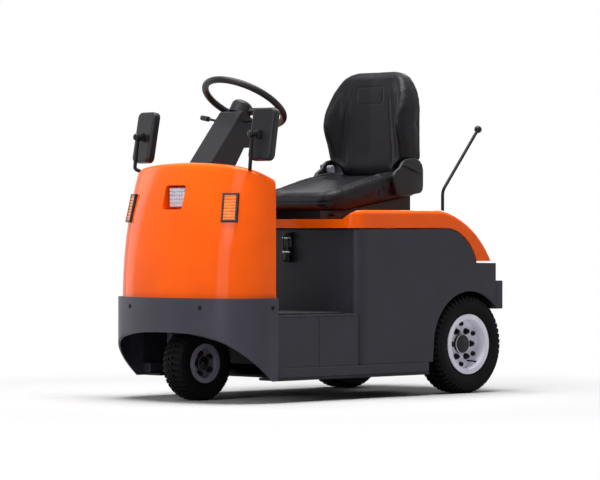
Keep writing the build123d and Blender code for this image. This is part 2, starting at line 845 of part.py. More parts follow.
def deck_trough(wall):
    high = deck_rim + deck_t
    rise = (deck_rim_half - deck_floor_half) * (high - deck_rim) / (deck_rim - deck_floor)
    floor_half = deck_floor_half + wall / 2
    rim_half = deck_rim_half + rise + wall / 2
    points = [
        (-floor_half, deck_floor - wall), (floor_half, deck_floor - wall), (rim_half, high), (-rim_half, high)
    ]
    return along(outline(points), deck_tail_x, deck_front + deck_t)


def make_deck():
    outer = across(deck_side(0, 0), -body_half, body_half)
    corners = outer.edges().filter_by(Axis.Z).group_by(Axis.X)[-1]
    outer = fillet(corners, deck_corner_r)
    top = [
        edge for edge in outer.edges()
        if edge.center().Z > deck_low + deck_t and abs(edge.center().Y) > deck_rim_half
        and abs((edge % 0.5).Z) < 0.9
    ]
    outer = fillet(top, deck_edge_r)
    inner = across(deck_side(deck_t, 2 * deck_rim), -body_half + deck_t, body_half - deck_t)
    inner_corners = inner.edges().filter_by(Axis.Z).group_by(Axis.X)[-1]
    inner = fillet(inner_corners, deck_corner_r - deck_t)
    shell = (outer - deck_trough(0)) - (inner - deck_trough(deck_t))
    for y in (-hinge_y, hinge_y):
        y0 = y - knuckle_w / 2
        y1 = y + knuckle_w / 2
        arm = block(hinge_x, deck_tail_x + deck_t, y0, y1, hinge_z - deck_t, hinge_z + deck_t)
        shell += rod_y(hinge_x, hinge_z, y0, y1, hinge_knuckle_d) + (arm - inner)
    shell -= rod_y(hinge_x, hinge_z, -body_half, body_half, hinge_pin_d + 2 * running_fit)
    save("deck_cover", shell)
    lugs = []
    for y in (-hinge_y, hinge_y):
        near = knuckle_w / 2 + hinge_side_gap
        far = near + hinge_lug_t
        lug = rod_y(hinge_x, hinge_z, y - far, y + far, hinge_pin_d)
        for y0, y1 in ((y - far, y - near), (y + near, y + far)):
            lug += rod_y(hinge_x, hinge_z, y0, y1, hinge_lug_d)
            lug += block(body_rear, hinge_x + hinge_pin_d / 2, y0, y1, ledge_z, hinge_z)
        lugs.append(lug)
    save("deck_hinge", *lugs)


# Seat: dished cushion and winged back on rails
def make_seat():
    flat = seat_front - seat_flat
    side = outline(
        [(seat_front, seat_low), (flat, seat_low), (seat_rear, seat_low_rear), (seat_rear, seat_top_rear),
         (seat_hip_x, seat_top_rear), (seat_mid_x, seat_top_mid), (seat_front, seat_top_front)],
        [seat_nose_r, seat_bend_r, seat_nose_r, seat_nose_r, seat_bend_r, seat_bend_r, seat_lip_r],
    )
    cushion = across(side, -seat_half, seat_half)
    rims = [edge for edge in cushion.edges() if abs(edge.center().Y) > seat_half - seat_gap]
    cushion = fillet(rims, seat_side_r)
    slope = atan2(seat_top_rear - seat_top_front, seat_front - seat_hip_x)
    lie = Plane(origin=(seat_front, 0, seat_top_front), x_dir=(0, 1, 0), z_dir=(-cos(slope), 0, sin(slope)))
    dish = outline([
        (-dish_half, -seat_half), (dish_half, -seat_half), (dish_half, 0),
        (dish_half - dish_wall, dish_depth), (dish_wall - dish_half, dish_depth), (-dish_half, 0),
    ])
    cushion -= extrude(lie * dish, amount=(seat_front - dish_rear) / cos(slope))
    save("seat_cushion", cushion)
    rail = outline([
        (seat_front - rail_in, deck_floor), (seat_front - rail_in, seat_low), (flat, seat_low),
        (rail_rear, seat_low + (seat_low_rear - seat_low) * (flat - rail_rear) / (flat - seat_rear)),
        (rail_rear, deck_floor),
    ])
    save("seat_rails", *both_sides(across(rail, rail_y - rail_w / 2, rail_y + rail_w / 2)))
    shape = outline(
        [(-back_low_half, back_low), (back_low_half, back_low), (seat_half, wing_z),
         (back_top_half, back_top), (-back_top_half, back_top), (-seat_half, wing_z)],
        [back_low_r, back_low_r, back_wing_r, back_top_r, back_top_r, back_wing_r],
    )
    back = along(shape, back_rear, back_rear + back_t)
    back = fillet(back.edges().group_by(Axis.X)[0], back_edge_r)
    back = fillet(back.edges().group_by(Axis.X)[-1], back_face_r)
    front = back_rear + back_t
    wing = outline(
        [(front - wing_root, wing_low), (front, wing_low), (wing_x, wing_z), (front, wing_high),
         (front - wing_root, wing_high)],
        [0, wing_foot_r, wing_nose_r, wing_foot_r, 0],
    )
    wings = across(wing, seat_half - wing_w, seat_half) & along(shape, back_rear, wing_x)
    for one_wing in both_sides(wings):
        back += one_wing
    save("seat_back", back)
    cover = outline(
        [(seat_rear, seat_low_rear), (seat_rear, cover_top), (cover_front, cover_top),
         (cover_front, seat_low_rear)],
        cover_r,
    )
    cover = across(cover, seat_half + seat_gap, seat_half + seat_gap + cover_t)
    cover = fillet(cover.edges().group_by(Axis.Y)[-1], cover_edge_r)
    save("recliner_covers", *both_sides(cover))
    handle = rod_y(seat_front - 2 * rail_in, deck_floor + (seat_low - deck_floor) / 2, rail_y + rail_w / 2,
                   seat_half + cover_t, stalk_d)
    save("seat_lever", handle)


# Hand lever on the deck, bent back to its ball
def make_lever():
    ball = Pos(lever_ball_x, lever_y, lever_ball_z) * Sphere(lever_ball_d / 2)
    path = [
        (lever_foot_x, lever_y, deck_floor), (lever_foot_x, lever_y, lever_bend_z),
        (lever_ball_x, lever_y, lever_ball_z),
    ]
    rod = tube(path, [lever_bend_r], lever_d)
    boot = Pos(lever_foot_x, lever_y, deck_floor + lever_boot_h / 2) * Cylinder(lever_d, lever_boot_h)
    save("coupling_lever", rod - ball + boot)
    save("lever_knob", ball)


os.makedirs("parts", exist_ok=True)
make_floor()
make_step()
make_skirt()
hood_outer, hood_inner = make_hood()
make_lamps(hood_inner)
make_dash(hood_inner)
make_column(hood_outer)
make_steering_wheel()
make_mirrors(hood_outer)
make_pedals()
make_head()
make_leg()
make_wheels()
make_axle()
make_rear_frame()
make_body_sides()
make_coupling()
make_deck()
make_seat()
make_lever()
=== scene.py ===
import json
import math

import bmesh
import bpy
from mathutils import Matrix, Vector
from mathutils.bvhtree import BVHTree

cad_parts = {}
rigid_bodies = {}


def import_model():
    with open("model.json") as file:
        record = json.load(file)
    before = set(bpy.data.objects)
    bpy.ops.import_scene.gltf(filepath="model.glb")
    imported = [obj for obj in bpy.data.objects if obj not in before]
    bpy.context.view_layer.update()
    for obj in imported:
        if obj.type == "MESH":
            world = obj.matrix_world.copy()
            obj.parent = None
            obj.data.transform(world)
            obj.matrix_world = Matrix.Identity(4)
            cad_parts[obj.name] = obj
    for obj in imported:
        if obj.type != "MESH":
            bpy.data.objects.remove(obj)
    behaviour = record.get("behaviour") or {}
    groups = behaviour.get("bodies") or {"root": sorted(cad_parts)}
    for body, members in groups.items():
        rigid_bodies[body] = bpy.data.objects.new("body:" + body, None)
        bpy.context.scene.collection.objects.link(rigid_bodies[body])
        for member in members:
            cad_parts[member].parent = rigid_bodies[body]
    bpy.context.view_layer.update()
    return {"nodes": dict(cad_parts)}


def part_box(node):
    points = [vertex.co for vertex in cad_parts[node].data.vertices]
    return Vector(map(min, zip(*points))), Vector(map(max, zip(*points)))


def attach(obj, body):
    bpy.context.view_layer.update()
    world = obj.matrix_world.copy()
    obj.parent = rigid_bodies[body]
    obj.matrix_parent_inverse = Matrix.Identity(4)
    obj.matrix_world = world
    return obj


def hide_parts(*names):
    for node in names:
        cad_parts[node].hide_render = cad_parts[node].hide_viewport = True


for leftover in list(bpy.data.objects):
    bpy.data.objects.remove(leftover)
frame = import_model()
nodes = frame["nodes"]
print("frame loaded,", len(nodes), "CAD nodes")

mm = 0.001
midX = 509.5  # stations along X are counted from the rear axle, as in the CAD
alongX, alongY, alongZ = (1, 0, 0), (0, 1, 0), (0, 0, 1)
sharpAngle = 35  # edges that bend more than this are drawn sharp, unless a shape says otherwise
tipMm = 0.01  # radius that stands for a closed tip
blotchStops = (0.35, 0.65)  # where a finish's shade ends and its base starts


def spot(x, y, z):
    return Vector(((x - midX) * mm, y * mm, z * mm))


def hexColour(text):
    channels = [int(text[i:i + 2], 16) / 255 for i in (0, 2, 4)]
    linear = [c / 12.92 if c <= 0.04045 else ((c + 0.055) / 1.055) ** 2.4 for c in channels]
    return (*linear, 1)


def setAll(thing, **settings):
    for key, value in settings.items():
        setattr(thing, key, value)
    return thing


def addNode(tree, kind, settings=None, values=None, links=None):
    # a link comes from a socket, or from a node's first output
    made = setAll(tree.nodes.new(kind), **(settings or {}))
    for key, value in (values or {}).items():
        made.inputs[key].default_value = value
    for key, source in (links or {}).items():
        tree.links.new(getattr(source, "outputs", [source])[0], made.inputs[key])
    return made


def emptyTree(owner):
    owner.use_nodes = True
    owner.node_tree.nodes.clear()
    return owner.node_tree


# every finish: two close colours in soft blotches, a roughness that wanders, and a fine relief
# base, shade, roughness, its wander, blotch mm, grain mm, relief mm, then what differs from makeFinish's own values
finishes = {
    # baked enamel on pressed steel: deep gloss, the least orange peel
    "orangeEnamel": (("FF6000", "F75B00", 0.13, 0.03, 160, 9, 0.012), dict(gloss=0.12, coat=0.04, coatRough=0.06)),
    # textured powder coat on the lower body, painted darker than the skirt's copy of the same coat as shade for its
    # sides: satin, a fine grit
    "bodyCoatPaintedShade": (("2C2A34", "28262F", 0.42, 0.08, 120, 2.2, 0.03), {}),
    # the same coat on the cast nose skirt, painted lighter for the front light it faces
    "skirtCoatPaintedLight": (("3A3843", "35333D", 0.4, 0.08, 140, 2.4, 0.04), {}),
    # chassis black over welded plate: dull, with an uneven sheen
    "chassisBlack": (("131215", "0D0C0E", 0.5, 0.12, 70, 3, 0.05), {}),
    # moulded ABS with a spark-eroded grain: an even, soft sheen
    "grainedAbs": (("18171B", "131216", 0.42, 0.06, 60, 1.4, 0.03), {}),
    # smooth moulded ABS, for caps and levers: clear highlights
    "smoothAbs": (("17161A", "131215", 0.28, 0.05, 40, 3, 0.01), {}),
    # calendered seat vinyl: soft, broken highlights; the pebble is drawn at 4 mm so that it shows
    "seatVinyl": (("131217", "0F0E12", 0.4, 0.1, 60, 4, 0.1), dict(gloss=0.14, cells=True)),
    # cured tyre rubber: matt
    "tyreRubber": (("08070A", "050406", 0.7, 0.12, 35, 2.5, 0.08), dict(gloss=0.1)),
    # pressed rubber for the mat, the pedals and the seal: matt
    "ribbedRubber": (("1B1A1D", "141316", 0.65, 0.1, 30, 2, 0.05), {}),
    # silver-grey stove enamel on the rear rims: bright and even
    "silverEnamel": (("E6E3F2", "DCD9E8", 0.38, 0.08, 50, 3, 0.02), {}),
    # darker grey enamel on the front rim: even, less bright
    "ironGreyEnamel": (("75707F", "6B6675", 0.42, 0.08, 50, 3, 0.03), {}),
    # bright zinc on pins and small fittings: cold glints
    "zincPlate": (("B9BAC2", "A2A3AB", 0.34, 0.12, 12, 2, 0.01), dict(metallic=1.0)),
    # black oxide on nuts, screws, mirror arms and the lever: dark, a thin glint
    "blackOxide": (("1A191C", "121113", 0.36, 0.1, 20, 2, 0.01), dict(metallic=0.6)),
    # painted sand casting: matt and coarse
    "castIron": (("2B2A2E", "232226", 0.6, 0.12, 25, 3.5, 0.15), {}),
    # polypropylene battery lids: waxy, a low sheen
    "batteryPolypropylene": (("2A2C33", "24262C", 0.45, 0.08, 60, 2, 0.03), {}),
    # injection-moulded lamp plastics: gloss, with the ribs in the mesh; the amber lens carries a faint painted glow of
    # its own colour, though the lamp is not lit
    "amberAcrylic": (("F07A00", "E26E00", 0.14, 0.03, 20, 4, 0.01), dict(gloss=0.25, paintedGlow=0.04)),
    "redAcrylic": (("B0101A", "9C0C14", 0.14, 0.03, 20, 4, 0.01), dict(gloss=0.5)),
    "opalLens": (("D2D2E0", "C6C6D6", 0.16, 0.03, 20, 4, 0.01), dict(gloss=0.5)),
    # silvered float glass: a clean reflection
    "mirrorGlass": (("D5D9DE", "D0D4DA", 0.03, 0.01, 80, 20, 0.0), dict(metallic=1.0)),
    # glass over a dim screen on the dash: dark, with sharp highlights
    "screenGlass": (("0B1418", "0A1114", 0.08, 0.02, 60, 10, 0.0), dict(gloss=0.5)),
    # nylon of the belt buckle: pale, a low sheen
    "greyNylon": (("8F8C99", "86838F", 0.4, 0.06, 20, 2, 0.02), {}),
    # yellow polypropylene of the battery's vent plugs: waxy
    "yellowVentPlug": (("D8AE1E", "CDA315", 0.4, 0.06, 15, 2, 0.01), {}),
    # cast lead of the cell links: dull metal
    "castLead": (("8C8D92", "7C7D82", 0.5, 0.12, 14, 2, 0.03), dict(metallic=0.8)),
    # red push-button plastic: clear highlights
    "signalRed": (("B3121B", "A50F18", 0.3, 0.05, 20, 3, 0.01), {}),
}


def makeFinish(name, base, shade, rough, wander, blotchMm, grainMm, reliefMm, gloss=0.22, metallic=0.0, coat=0.0,
               coatRough=0.1, cells=False, paintedGlow=0.0):
    material = bpy.data.materials.new(name)
    tree = emptyTree(material)
    place = addNode(tree, "ShaderNodeTexCoord").outputs["Object"]
    blotch = addNode(tree, "ShaderNodeTexNoise", values={"Scale": 1 / (blotchMm * mm), "Detail": 3.0},
                     links={"Vector": place})
    ramp = addNode(tree, "ShaderNodeValToRGB", links={"Fac": blotch})
    for stop, position, colour in zip(ramp.color_ramp.elements, blotchStops, (shade, base)):
        setAll(stop, position=position, color=hexColour(colour))
    roughness = addNode(tree, "ShaderNodeMapRange", values={"To Min": rough - wander / 2, "To Max": rough + wander / 2},
                        links={"Value": blotch})
    links = {"Base Color": ramp, "Roughness": roughness}
    if reliefMm:
        grain = addNode(tree, "ShaderNodeTexVoronoi" if cells else "ShaderNodeTexNoise",
                        values={"Scale": 1 / (grainMm * mm)}, links={"Vector": place})
        links["Normal"] = addNode(tree, "ShaderNodeBump", values={"Strength": 1.0, "Distance": reliefMm * mm},
                                  links={"Height": grain})
    shader = addNode(
        tree, "ShaderNodeBsdfPrincipled",
        values={"Metallic": metallic, "Coat Weight": coat, "Coat Roughness": coatRough, "Specular IOR Level": gloss},
        links=links,
    )
    # a glow of the base colour is painted light, not a lit lamp
    if paintedGlow:
        shader.inputs["Emission Color"].default_value = hexColour(base)
        shader.inputs["Emission Strength"].default_value = paintedGlow
    addNode(tree, "ShaderNodeOutputMaterial", links={"Surface": shader})
    return material


paint = {name: makeFinish(name, *row, **more) for name, (row, more) in finishes.items()}
print("finishes made:", len(paint))


def addPiece(name, mesh, finish=None, body=None):
    mesh.name = name
    piece = bpy.data.objects.new(name, mesh)
    bpy.context.scene.collection.objects.link(piece)
    if finish:
        mesh.materials.clear()
        mesh.materials.append(paint[finish])
    if body:
        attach(piece, body)
    return piece


def smoothMesh(work):
    mesh = bpy.data.meshes.new("made")
    for face in work.faces:
        face.smooth = True
    work.to_mesh(mesh)
    work.free()
    return mesh


def meshOf(work, smoothAngle=sharpAngle):
    bmesh.ops.recalc_face_normals(work, faces=work.faces)
    mesh = smoothMesh(work)
    mesh.set_sharp_from_angle(angle=math.radians(smoothAngle))
    return mesh


def bakedMesh(piece):
    bpy.context.view_layer.update()
    return bpy.data.meshes.new_from_object(piece.evaluated_get(bpy.context.evaluated_depsgraph_get()))


def settle(piece):
    # turns live modifiers into a plain mesh
    mesh = bakedMesh(piece)
    piece.modifiers.clear()
    old = piece.data
    piece.data = mesh
    bpy.data.meshes.remove(old)
    return piece


def bevelEdges(piece, widthMm, segments, angle):
    setAll(piece.modifiers.new("edge", "BEVEL"), width=widthMm * mm, segments=segments, limit_method="ANGLE",
           angle_limit=math.radians(angle))


# sheet and moulded parts whose edges the eye catches: finish, body, slot, and each part's edge radius in mm
edged = [
    # the skirt takes the lighter copy of the grey coat and the body the darker one: painted light and shade
    ("skirtCoatPaintedLight", "chassis", "skirt_paint", dict(front_skirt=5.0)),
    ("bodyCoatPaintedShade", "chassis", "body_paint",
     dict(side_sills=4.0, step_panels=1.5, step_floor=2.0, seat_base_wall=1.5, side_panel_left=2.0,
          side_panel_right=2.0, rear_panel=2.0, rear_bumper=2.0)),
    ("chassisBlack", "chassis", "battery_case", dict(battery_block=6.0)),
    ("grainedAbs", "chassis", "black_plastic", dict(steering_column=12.0, dash_panel=1.5)),
    ("chassisBlack", "cover", "black_steel", dict(seat_rails=2.0)),
    ("chassisBlack", "chassis", "frame_paint", dict(floor_plate=1.5, well_wall=1.5)),
    ("grainedAbs", "chassis", "black_plastic", dict(mirror_housings=9.0)),
    ("orangeEnamel", "chassis", "orange_paint", dict(headlight_pocket=1.0)),
    ("smoothAbs", "chassis", "black_plastic", dict(indicator_bezels=1.0)),
]
edgeCut = dict(weld=1e-6, flat=0.3, segments=2, angle=40)


def softenEdges(name, radiusMm, finish, body):
    work = bmesh.new()
    work.from_mesh(nodes[name].data)
    bmesh.ops.remove_doubles(work, verts=work.verts, dist=edgeCut["weld"])
    bmesh.ops.dissolve_limit(work, angle_limit=math.radians(edgeCut["flat"]), verts=work.verts, edges=work.edges)
    piece = addPiece(name + "Edged", smoothMesh(work), finish)
    bevelEdges(piece, radiusMm, edgeCut["segments"], edgeCut["angle"])
    setAll(piece.modifiers.new("flat", "WEIGHTED_NORMAL"), keep_sharp=True)
    settle(piece)
    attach(piece, body)
    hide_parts(name)


for finish, body, slotName, radii in edged:
    for name, radiusMm in radii.items():
        softenEdges(name, radiusMm, finish, body)
print("edges softened on", sum(len(row[3]) for row in edged), "parts")

# CAD nodes that keep their own mesh
plain = {
    "orangeEnamel": ["hood", "deck_cover"],
    "grainedAbs": ["column_stalks", "steering_wheel", "steering_hub"],
    "smoothAbs": ["lever_knob", "seat_lever", "cover_latch"],
    "blackOxide": ["mirror_arms", "coupling_lever"],
    "ribbedRubber": ["floor_mat", "brake_pedal", "accelerator_pedal"],
    "chassisBlack": ["steering_head", "rear_frame", "rear_axle", "deck_hinge", "tow_coupling"],
    "castIron": ["steer_leg"],
    "silverEnamel": ["rear_rim_left", "rear_rim_right"],
    "ironGreyEnamel": ["front_rim"],
    "amberAcrylic": ["indicator_lenses"],
    "redAcrylic": ["tail_lamps"],
    "opalLens": ["headlight_lens"],
    "mirrorGlass": ["mirror_glasses"],
}
for finish, names in plain.items():
    for name in names:
        nodes[name].data.materials.clear()
        nodes[name].data.materials.append(paint[finish])
print("CAD nodes painted")


# Geometry Nodes trees: each takes one item and repeats it, with its sizes as named inputs
def startTree(name, sockets):
    tree = bpy.data.node_groups.new(name, "GeometryNodeTree")
    for label, kind in sockets:
        tree.interface.new_socket(name=label, in_out="INPUT", socket_type="NodeSocket" + kind)
    tree.interface.new_socket(name="Geometry", in_out="OUTPUT", socket_type="NodeSocketGeometry")
    return tree, addNode(tree, "NodeGroupInput").outputs


def endTree(tree, geometry, finish):
    whole = addNode(tree, "GeometryNodeRealizeInstances", links={"Geometry": geometry})
    coated = addNode(tree, "GeometryNodeSetMaterial", links={"Geometry": whole, "Material": finish})
    addNode(tree, "NodeGroupOutput", links={"Geometry": coated})
    return tree


def ringTree():
    # copies the item about a Y axis through Centre
    tree, given = startTree("ringOfItems", [("Geometry", "Geometry"), ("Count", "Int"), ("Phase", "Float"),
                                            ("Centre", "Vector"), ("Finish", "Material")])
    home = addNode(tree, "ShaderNodeVectorMath", {"operation": "SCALE"}, {"Scale": -1.0}, {0: given["Centre"]})
    item = addNode(tree, "GeometryNodeTransform", links={"Geometry": given["Geometry"], "Translation": home})
    points = addNode(tree, "GeometryNodePoints", links={"Count": given["Count"]})
    index = addNode(tree, "GeometryNodeInputIndex")
    step = addNode(tree, "ShaderNodeMath", {"operation": "DIVIDE"}, {0: 2 * math.pi}, {1: given["Count"]})
    turn = addNode(tree, "ShaderNodeMath", {"operation": "MULTIPLY_ADD"}, links={0: index, 1: step, 2: given["Phase"]})
    angles = addNode(tree, "ShaderNodeCombineXYZ", links={"Y": turn})
    copies = addNode(tree, "GeometryNodeInstanceOnPoints",
                     links={"Points": points, "Instance": item, "Rotation": angles})
    placed = addNode(tree, "GeometryNodeTransform", links={"Geometry": copies, "Translation": given["Centre"]})
    return endTree(tree, placed, given["Finish"])


def rowsTree():
    # copies the item in rows: Across steps first, then Along
    tree, given = startTree("rowsOfItems", [("Geometry", "Geometry"), ("Across", "Int"), ("Along", "Int"),
                                            ("Across Step", "Vector"), ("Along Step", "Vector"),
                                            ("Finish", "Material")])
    total = addNode(tree, "ShaderNodeMath", {"operation": "MULTIPLY"}, links={0: given["Across"], 1: given["Along"]})
    index = addNode(tree, "GeometryNodeInputIndex")
    column = addNode(tree, "ShaderNodeMath", {"operation": "MODULO"}, links={0: index, 1: given["Across"]})
    share = addNode(tree, "ShaderNodeMath", {"operation": "DIVIDE"}, links={0: index, 1: given["Across"]})
    row = addNode(tree, "ShaderNodeMath", {"operation": "FLOOR"}, links={0: share})
    sideways = addNode(tree, "ShaderNodeVectorMath", {"operation": "SCALE"},
                       links={0: given["Across Step"], "Scale": column})
    onward = addNode(tree, "ShaderNodeVectorMath", {"operation": "SCALE"}, links={0: given["Along Step"], "Scale": row})
    both = addNode(tree, "ShaderNodeVectorMath", {"operation": "ADD"}, links={0: sideways, 1: onward})
    points = addNode(tree, "GeometryNodePoints", links={"Count": total, "Position": both})
    copies = addNode(tree, "GeometryNodeInstanceOnPoints", links={"Points": points, "Instance": given["Geometry"]})
    return endTree(tree, copies, given["Finish"])


def spotsTree():
    # sets the item on each point, its Z axis along the point's facing
    tree, given = startTree("itemsOnSpots", [("Geometry", "Geometry"), ("Item", "Object"), ("Finish", "Material")])
    item = addNode(tree, "GeometryNodeObjectInfo", links={"Object": given["Item"]})
    facing = addNode(tree, "GeometryNodeInputNamedAttribute", {"data_type": "FLOAT_VECTOR"}, {"Name": "facing"})
    turn = addNode(tree, "FunctionNodeAlignRotationToVector", {"axis": "Z"}, links={"Vector": facing})
    copies = addNode(tree, "GeometryNodeInstanceOnPoints",
                     links={"Points": given["Geometry"], "Instance": item.outputs["Geometry"], "Rotation": turn})
    return endTree(tree, copies, given["Finish"])


ringOf, rowsOf, spotsOf = ringTree(), rowsTree(), spotsTree()


def repeat(name, mesh, tree, values, finish, body=None):
    piece = addPiece(name, mesh)
    maker = piece.modifiers.new("repeat", "NODES")
    maker.node_group = tree
    for socket in tree.interface.items_tree:
        if socket.in_out == "INPUT" and socket.name in values:
            maker[socket.identifier] = values[socket.name]
        if socket.name == "Finish":
            maker[socket.identifier] = paint[finish]
    settle(piece)
    if body:
        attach(piece, body)
    return piece


def joinPieces(name, pieces, body):
    # several made meshes as one piece, each with its own finish
    work = bmesh.new()
    materials = []
    for piece in pieces:
        first = len(materials)
        materials += list(piece.data.materials)
        start = len(work.faces)
        work.from_mesh(piece.data)
        work.faces.ensure_lookup_table()
        for face in work.faces[start:]:
            face.material_index += first
    mesh = bpy.data.meshes.new(name)
    work.to_mesh(mesh)
    work.free()
    for material in materials:
        mesh.materials.append(material)
    for piece in pieces:
        bpy.data.objects.remove(piece)
    mesh.set_sharp_from_angle(angle=math.radians(sharpAngle))
    return addPiece(name, mesh, None, body)


# solids from rings of points, and from a profile turned about an axis
def loft(work, rings):
    made = [[work.verts.new(point) for point in ring] for ring in rings]
    for low, high in zip(made, made[1:]):
        for i in range(len(low)):
            j = (i + 1) % len(low)
            work.faces.new((low[i], low[j], high[j], high[i]))
    work.faces.new(list(reversed(made[0])))
    work.faces.new(made[-1])


def skin(rings, smoothAngle=sharpAngle):
    work = bmesh.new()
    loft(work, rings)
    return meshOf(work, smoothAngle)


def prism(outline, thickness, smoothAngle=sharpAngle):
    # thickness is a vector
    return skin([outline, [point + Vector(thickness) for point in outline]], smoothAngle)


def circle(count):
    return [(math.cos(2 * math.pi * i / count), math.sin(2 * math.pi * i / count)) for i in range(count)]


def spin(profile, centre, steps, smoothAngle, closed=True):
    # turns a (radius, y) profile about the Y axis through centre
    work = bmesh.new()
    rings = [[work.verts.new(centre + Vector((r * c, y, r * s)) * mm) for r, y in profile] for c, s in circle(steps)]
    count = len(profile)
    for here, there in zip(rings, rings[1:] + rings[:1]):
        for j in range(count if closed else count - 1):
            k = (j + 1) % count
            work.faces.new((here[j], here[k], there[k], there[j]))
    return meshOf(work, smoothAngle)


wheels = [
    dict(tyre="rearTyreLeft", hub="rearHubLeft", node="rear_tyre_left", body="rear_wheel_left", kind="rear",
         at=(0, 315, 191.5), side=1),
    dict(tyre="rearTyreRight", hub="rearHubRight", node="rear_tyre_right", body="rear_wheel_right", kind="rear",
         at=(0, -315, 191.5), side=-1),
    dict(tyre="frontTyre", hub="frontHub", node="front_tyre", body="front_wheel", kind="front", at=(1100, 0, 139),
         side=1),
]

# tyres: a spun casing as (radius, y), with shoulder lugs as (y, radius) that are narrower above crownFrom
tyreKinds = {
    "rear": dict(
        casing=[(106.6, 48.6), (119, 49), (123, 49.6), (126, 52), (133, 55), (143, 57.6), (154, 58.6), (163, 58.4),
                (165, 57.2), (168, 57.4), (174, 55), (179, 49), (183, 38), (184.5, 20), (184.5, 12), (189.5, 9.5)],
        lug=[(14, 191.2), (43, 190.8), (50, 184.5), (57.8, 175.8), (58.2, 167.2), (50, 166), (14, 181)],
        count=52, half=7.4, sweep=9.0, crownFrom=183,
    ),
    "front": dict(
        casing=[(64.2, 41.6), (75, 42), (78, 42.6), (82, 45.5), (89, 49), (98, 51.2), (108, 51.7), (114, 51),
                (116, 50), (119, 50.2), (124, 47.5), (128, 41), (131.5, 30), (132.5, 18), (132.5, 8), (136, 6.5)],
        lug=[(10, 138.8), (34, 138.4), (42, 134), (50.2, 126), (51, 118.4), (43, 117), (10, 129)],
        count=38, half=6.6, sweep=7.0, crownFrom=131,
        middle=dict(corners=[(-9, -8), (3, -8), (9, 8), (-3, 8)], foot=132, rise=6.8, phase=0.04),
    ),
}
lugLean = dict(start=14, over=44, crownShare=0.86)


def lugMesh(kind, centre, side):
    # the block leans along the tread as it goes outwards
    rings = []
    for sign in (-1, 1):
        ring = []
        for y, r in kind["lug"]:
            half = kind["half"] * (lugLean["crownShare"] if r > kind["crownFrom"] else 1.0)
            drift = kind["sweep"] * (y - lugLean["start"]) / lugLean["over"] + sign * half
            ring.append(centre + Vector((drift, side * y, r)) * mm)
        rings.append(ring)
    return skin(rings, smoothAngle=30)


def makeTyre(wheel):
    name, kind = wheel["tyre"], tyreKinds[wheel["kind"]]
    centre = spot(*wheel["at"])
    profile = kind["casing"] + [(r, -y) for r, y in reversed(kind["casing"])]
    rows = [addPiece(name + "Casing", spin(profile, centre, steps=144, smoothAngle=28), "tyreRubber")]
    items = [("Lugs1", lugMesh(kind, centre, 1), 0.0), ("Lugs-1", lugMesh(kind, centre, -1), math.pi / kind["count"])]
    if "middle" in kind:
        # the middle blocks of the front tread, set across the shoulder ones
        block = kind["middle"]
        corners = [centre + Vector((x, y, block["foot"])) * mm for x, y in block["corners"]]
        items.append(("Middle", prism(corners, (0, 0, block["rise"] * mm)), block["phase"]))
    for label, item, phase in items:
        rows.append(repeat(name + label, item, ringOf, {"Count": kind["count"], "Phase": phase, "Centre": centre},
                           "tyreRubber"))
    tyre = joinPieces(name, rows, wheel["body"])
    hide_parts(wheel["node"])


for wheel in wheels:
    makeTyre(wheel)
print("tyres made:", len(wheels))

# wheel faces: nuts and split-rim bolts in rings, hub caps, and valves on the rear; y from the wheel's middle
wheelFaces = {
    "rear": dict(
        discY=11.3, capD=74, capY=23.6, valve=[(-38, 8, -66), (-40, 24, -67), (-62, 30, -70), (-74, 31, -71)],
        rows=[dict(label="Nuts", circleD=112, count=6, phase=0.0, across=19, length=11, tipD=11.0, tipLength=6.0),
              dict(label="Bolts", circleD=158, count=6, phase=math.pi / 6, across=15, length=8, tipD=8.0,
                   tipLength=3.0)],
    ),
    "front": dict(
        discY=25.3, capD=54, capY=37.6,
        rows=[dict(label="Nuts", circleD=80, count=5, phase=0.0, across=17, length=11, tipD=11.0, tipLength=6.0)],
    ),
}
washer = dict(share=1.35, thick=2.0)
# the hub cap's profile as a share of its radius, mm beyond that, and mm above its shoulder
capProfile = [(0, tipMm, 6), (0.3, 0, 6), (0.36, 0, 3.4), (0.8, 0, 2.6), (0.95, 0, 0.6), (1, 0, -2.5), (1, 1.6, -3.4)]
capLip = capProfile[-1][1]
valveRadius = 3.2


def nutMesh(row, centre, side):
    # a nut on a washer, with the stud's tip standing out of it, along Y
    base = washer["thick"]
    top = base + row["length"]
    # radius, sides, foot, top, chamfer
    discs = [(row["across"] * washer["share"] / 2, 24, 0, base, 0.4),
             (row["across"] / 2 / math.cos(math.pi / 6), 6, base, top, 1.2),
             (row["tipD"] / 2, 16, top, top + row["tipLength"], 0.8)]
    work = bmesh.new()
    for radius, count, low, high, chamfer in discs:
        levels = ((low, radius), (high - chamfer, radius), (high, radius - chamfer))
        loft(work, [[centre + Vector((r * c, side * y, r * s)) * mm for c, s in circle(count)] for y, r in levels])
    return meshOf(work, smoothAngle=30)


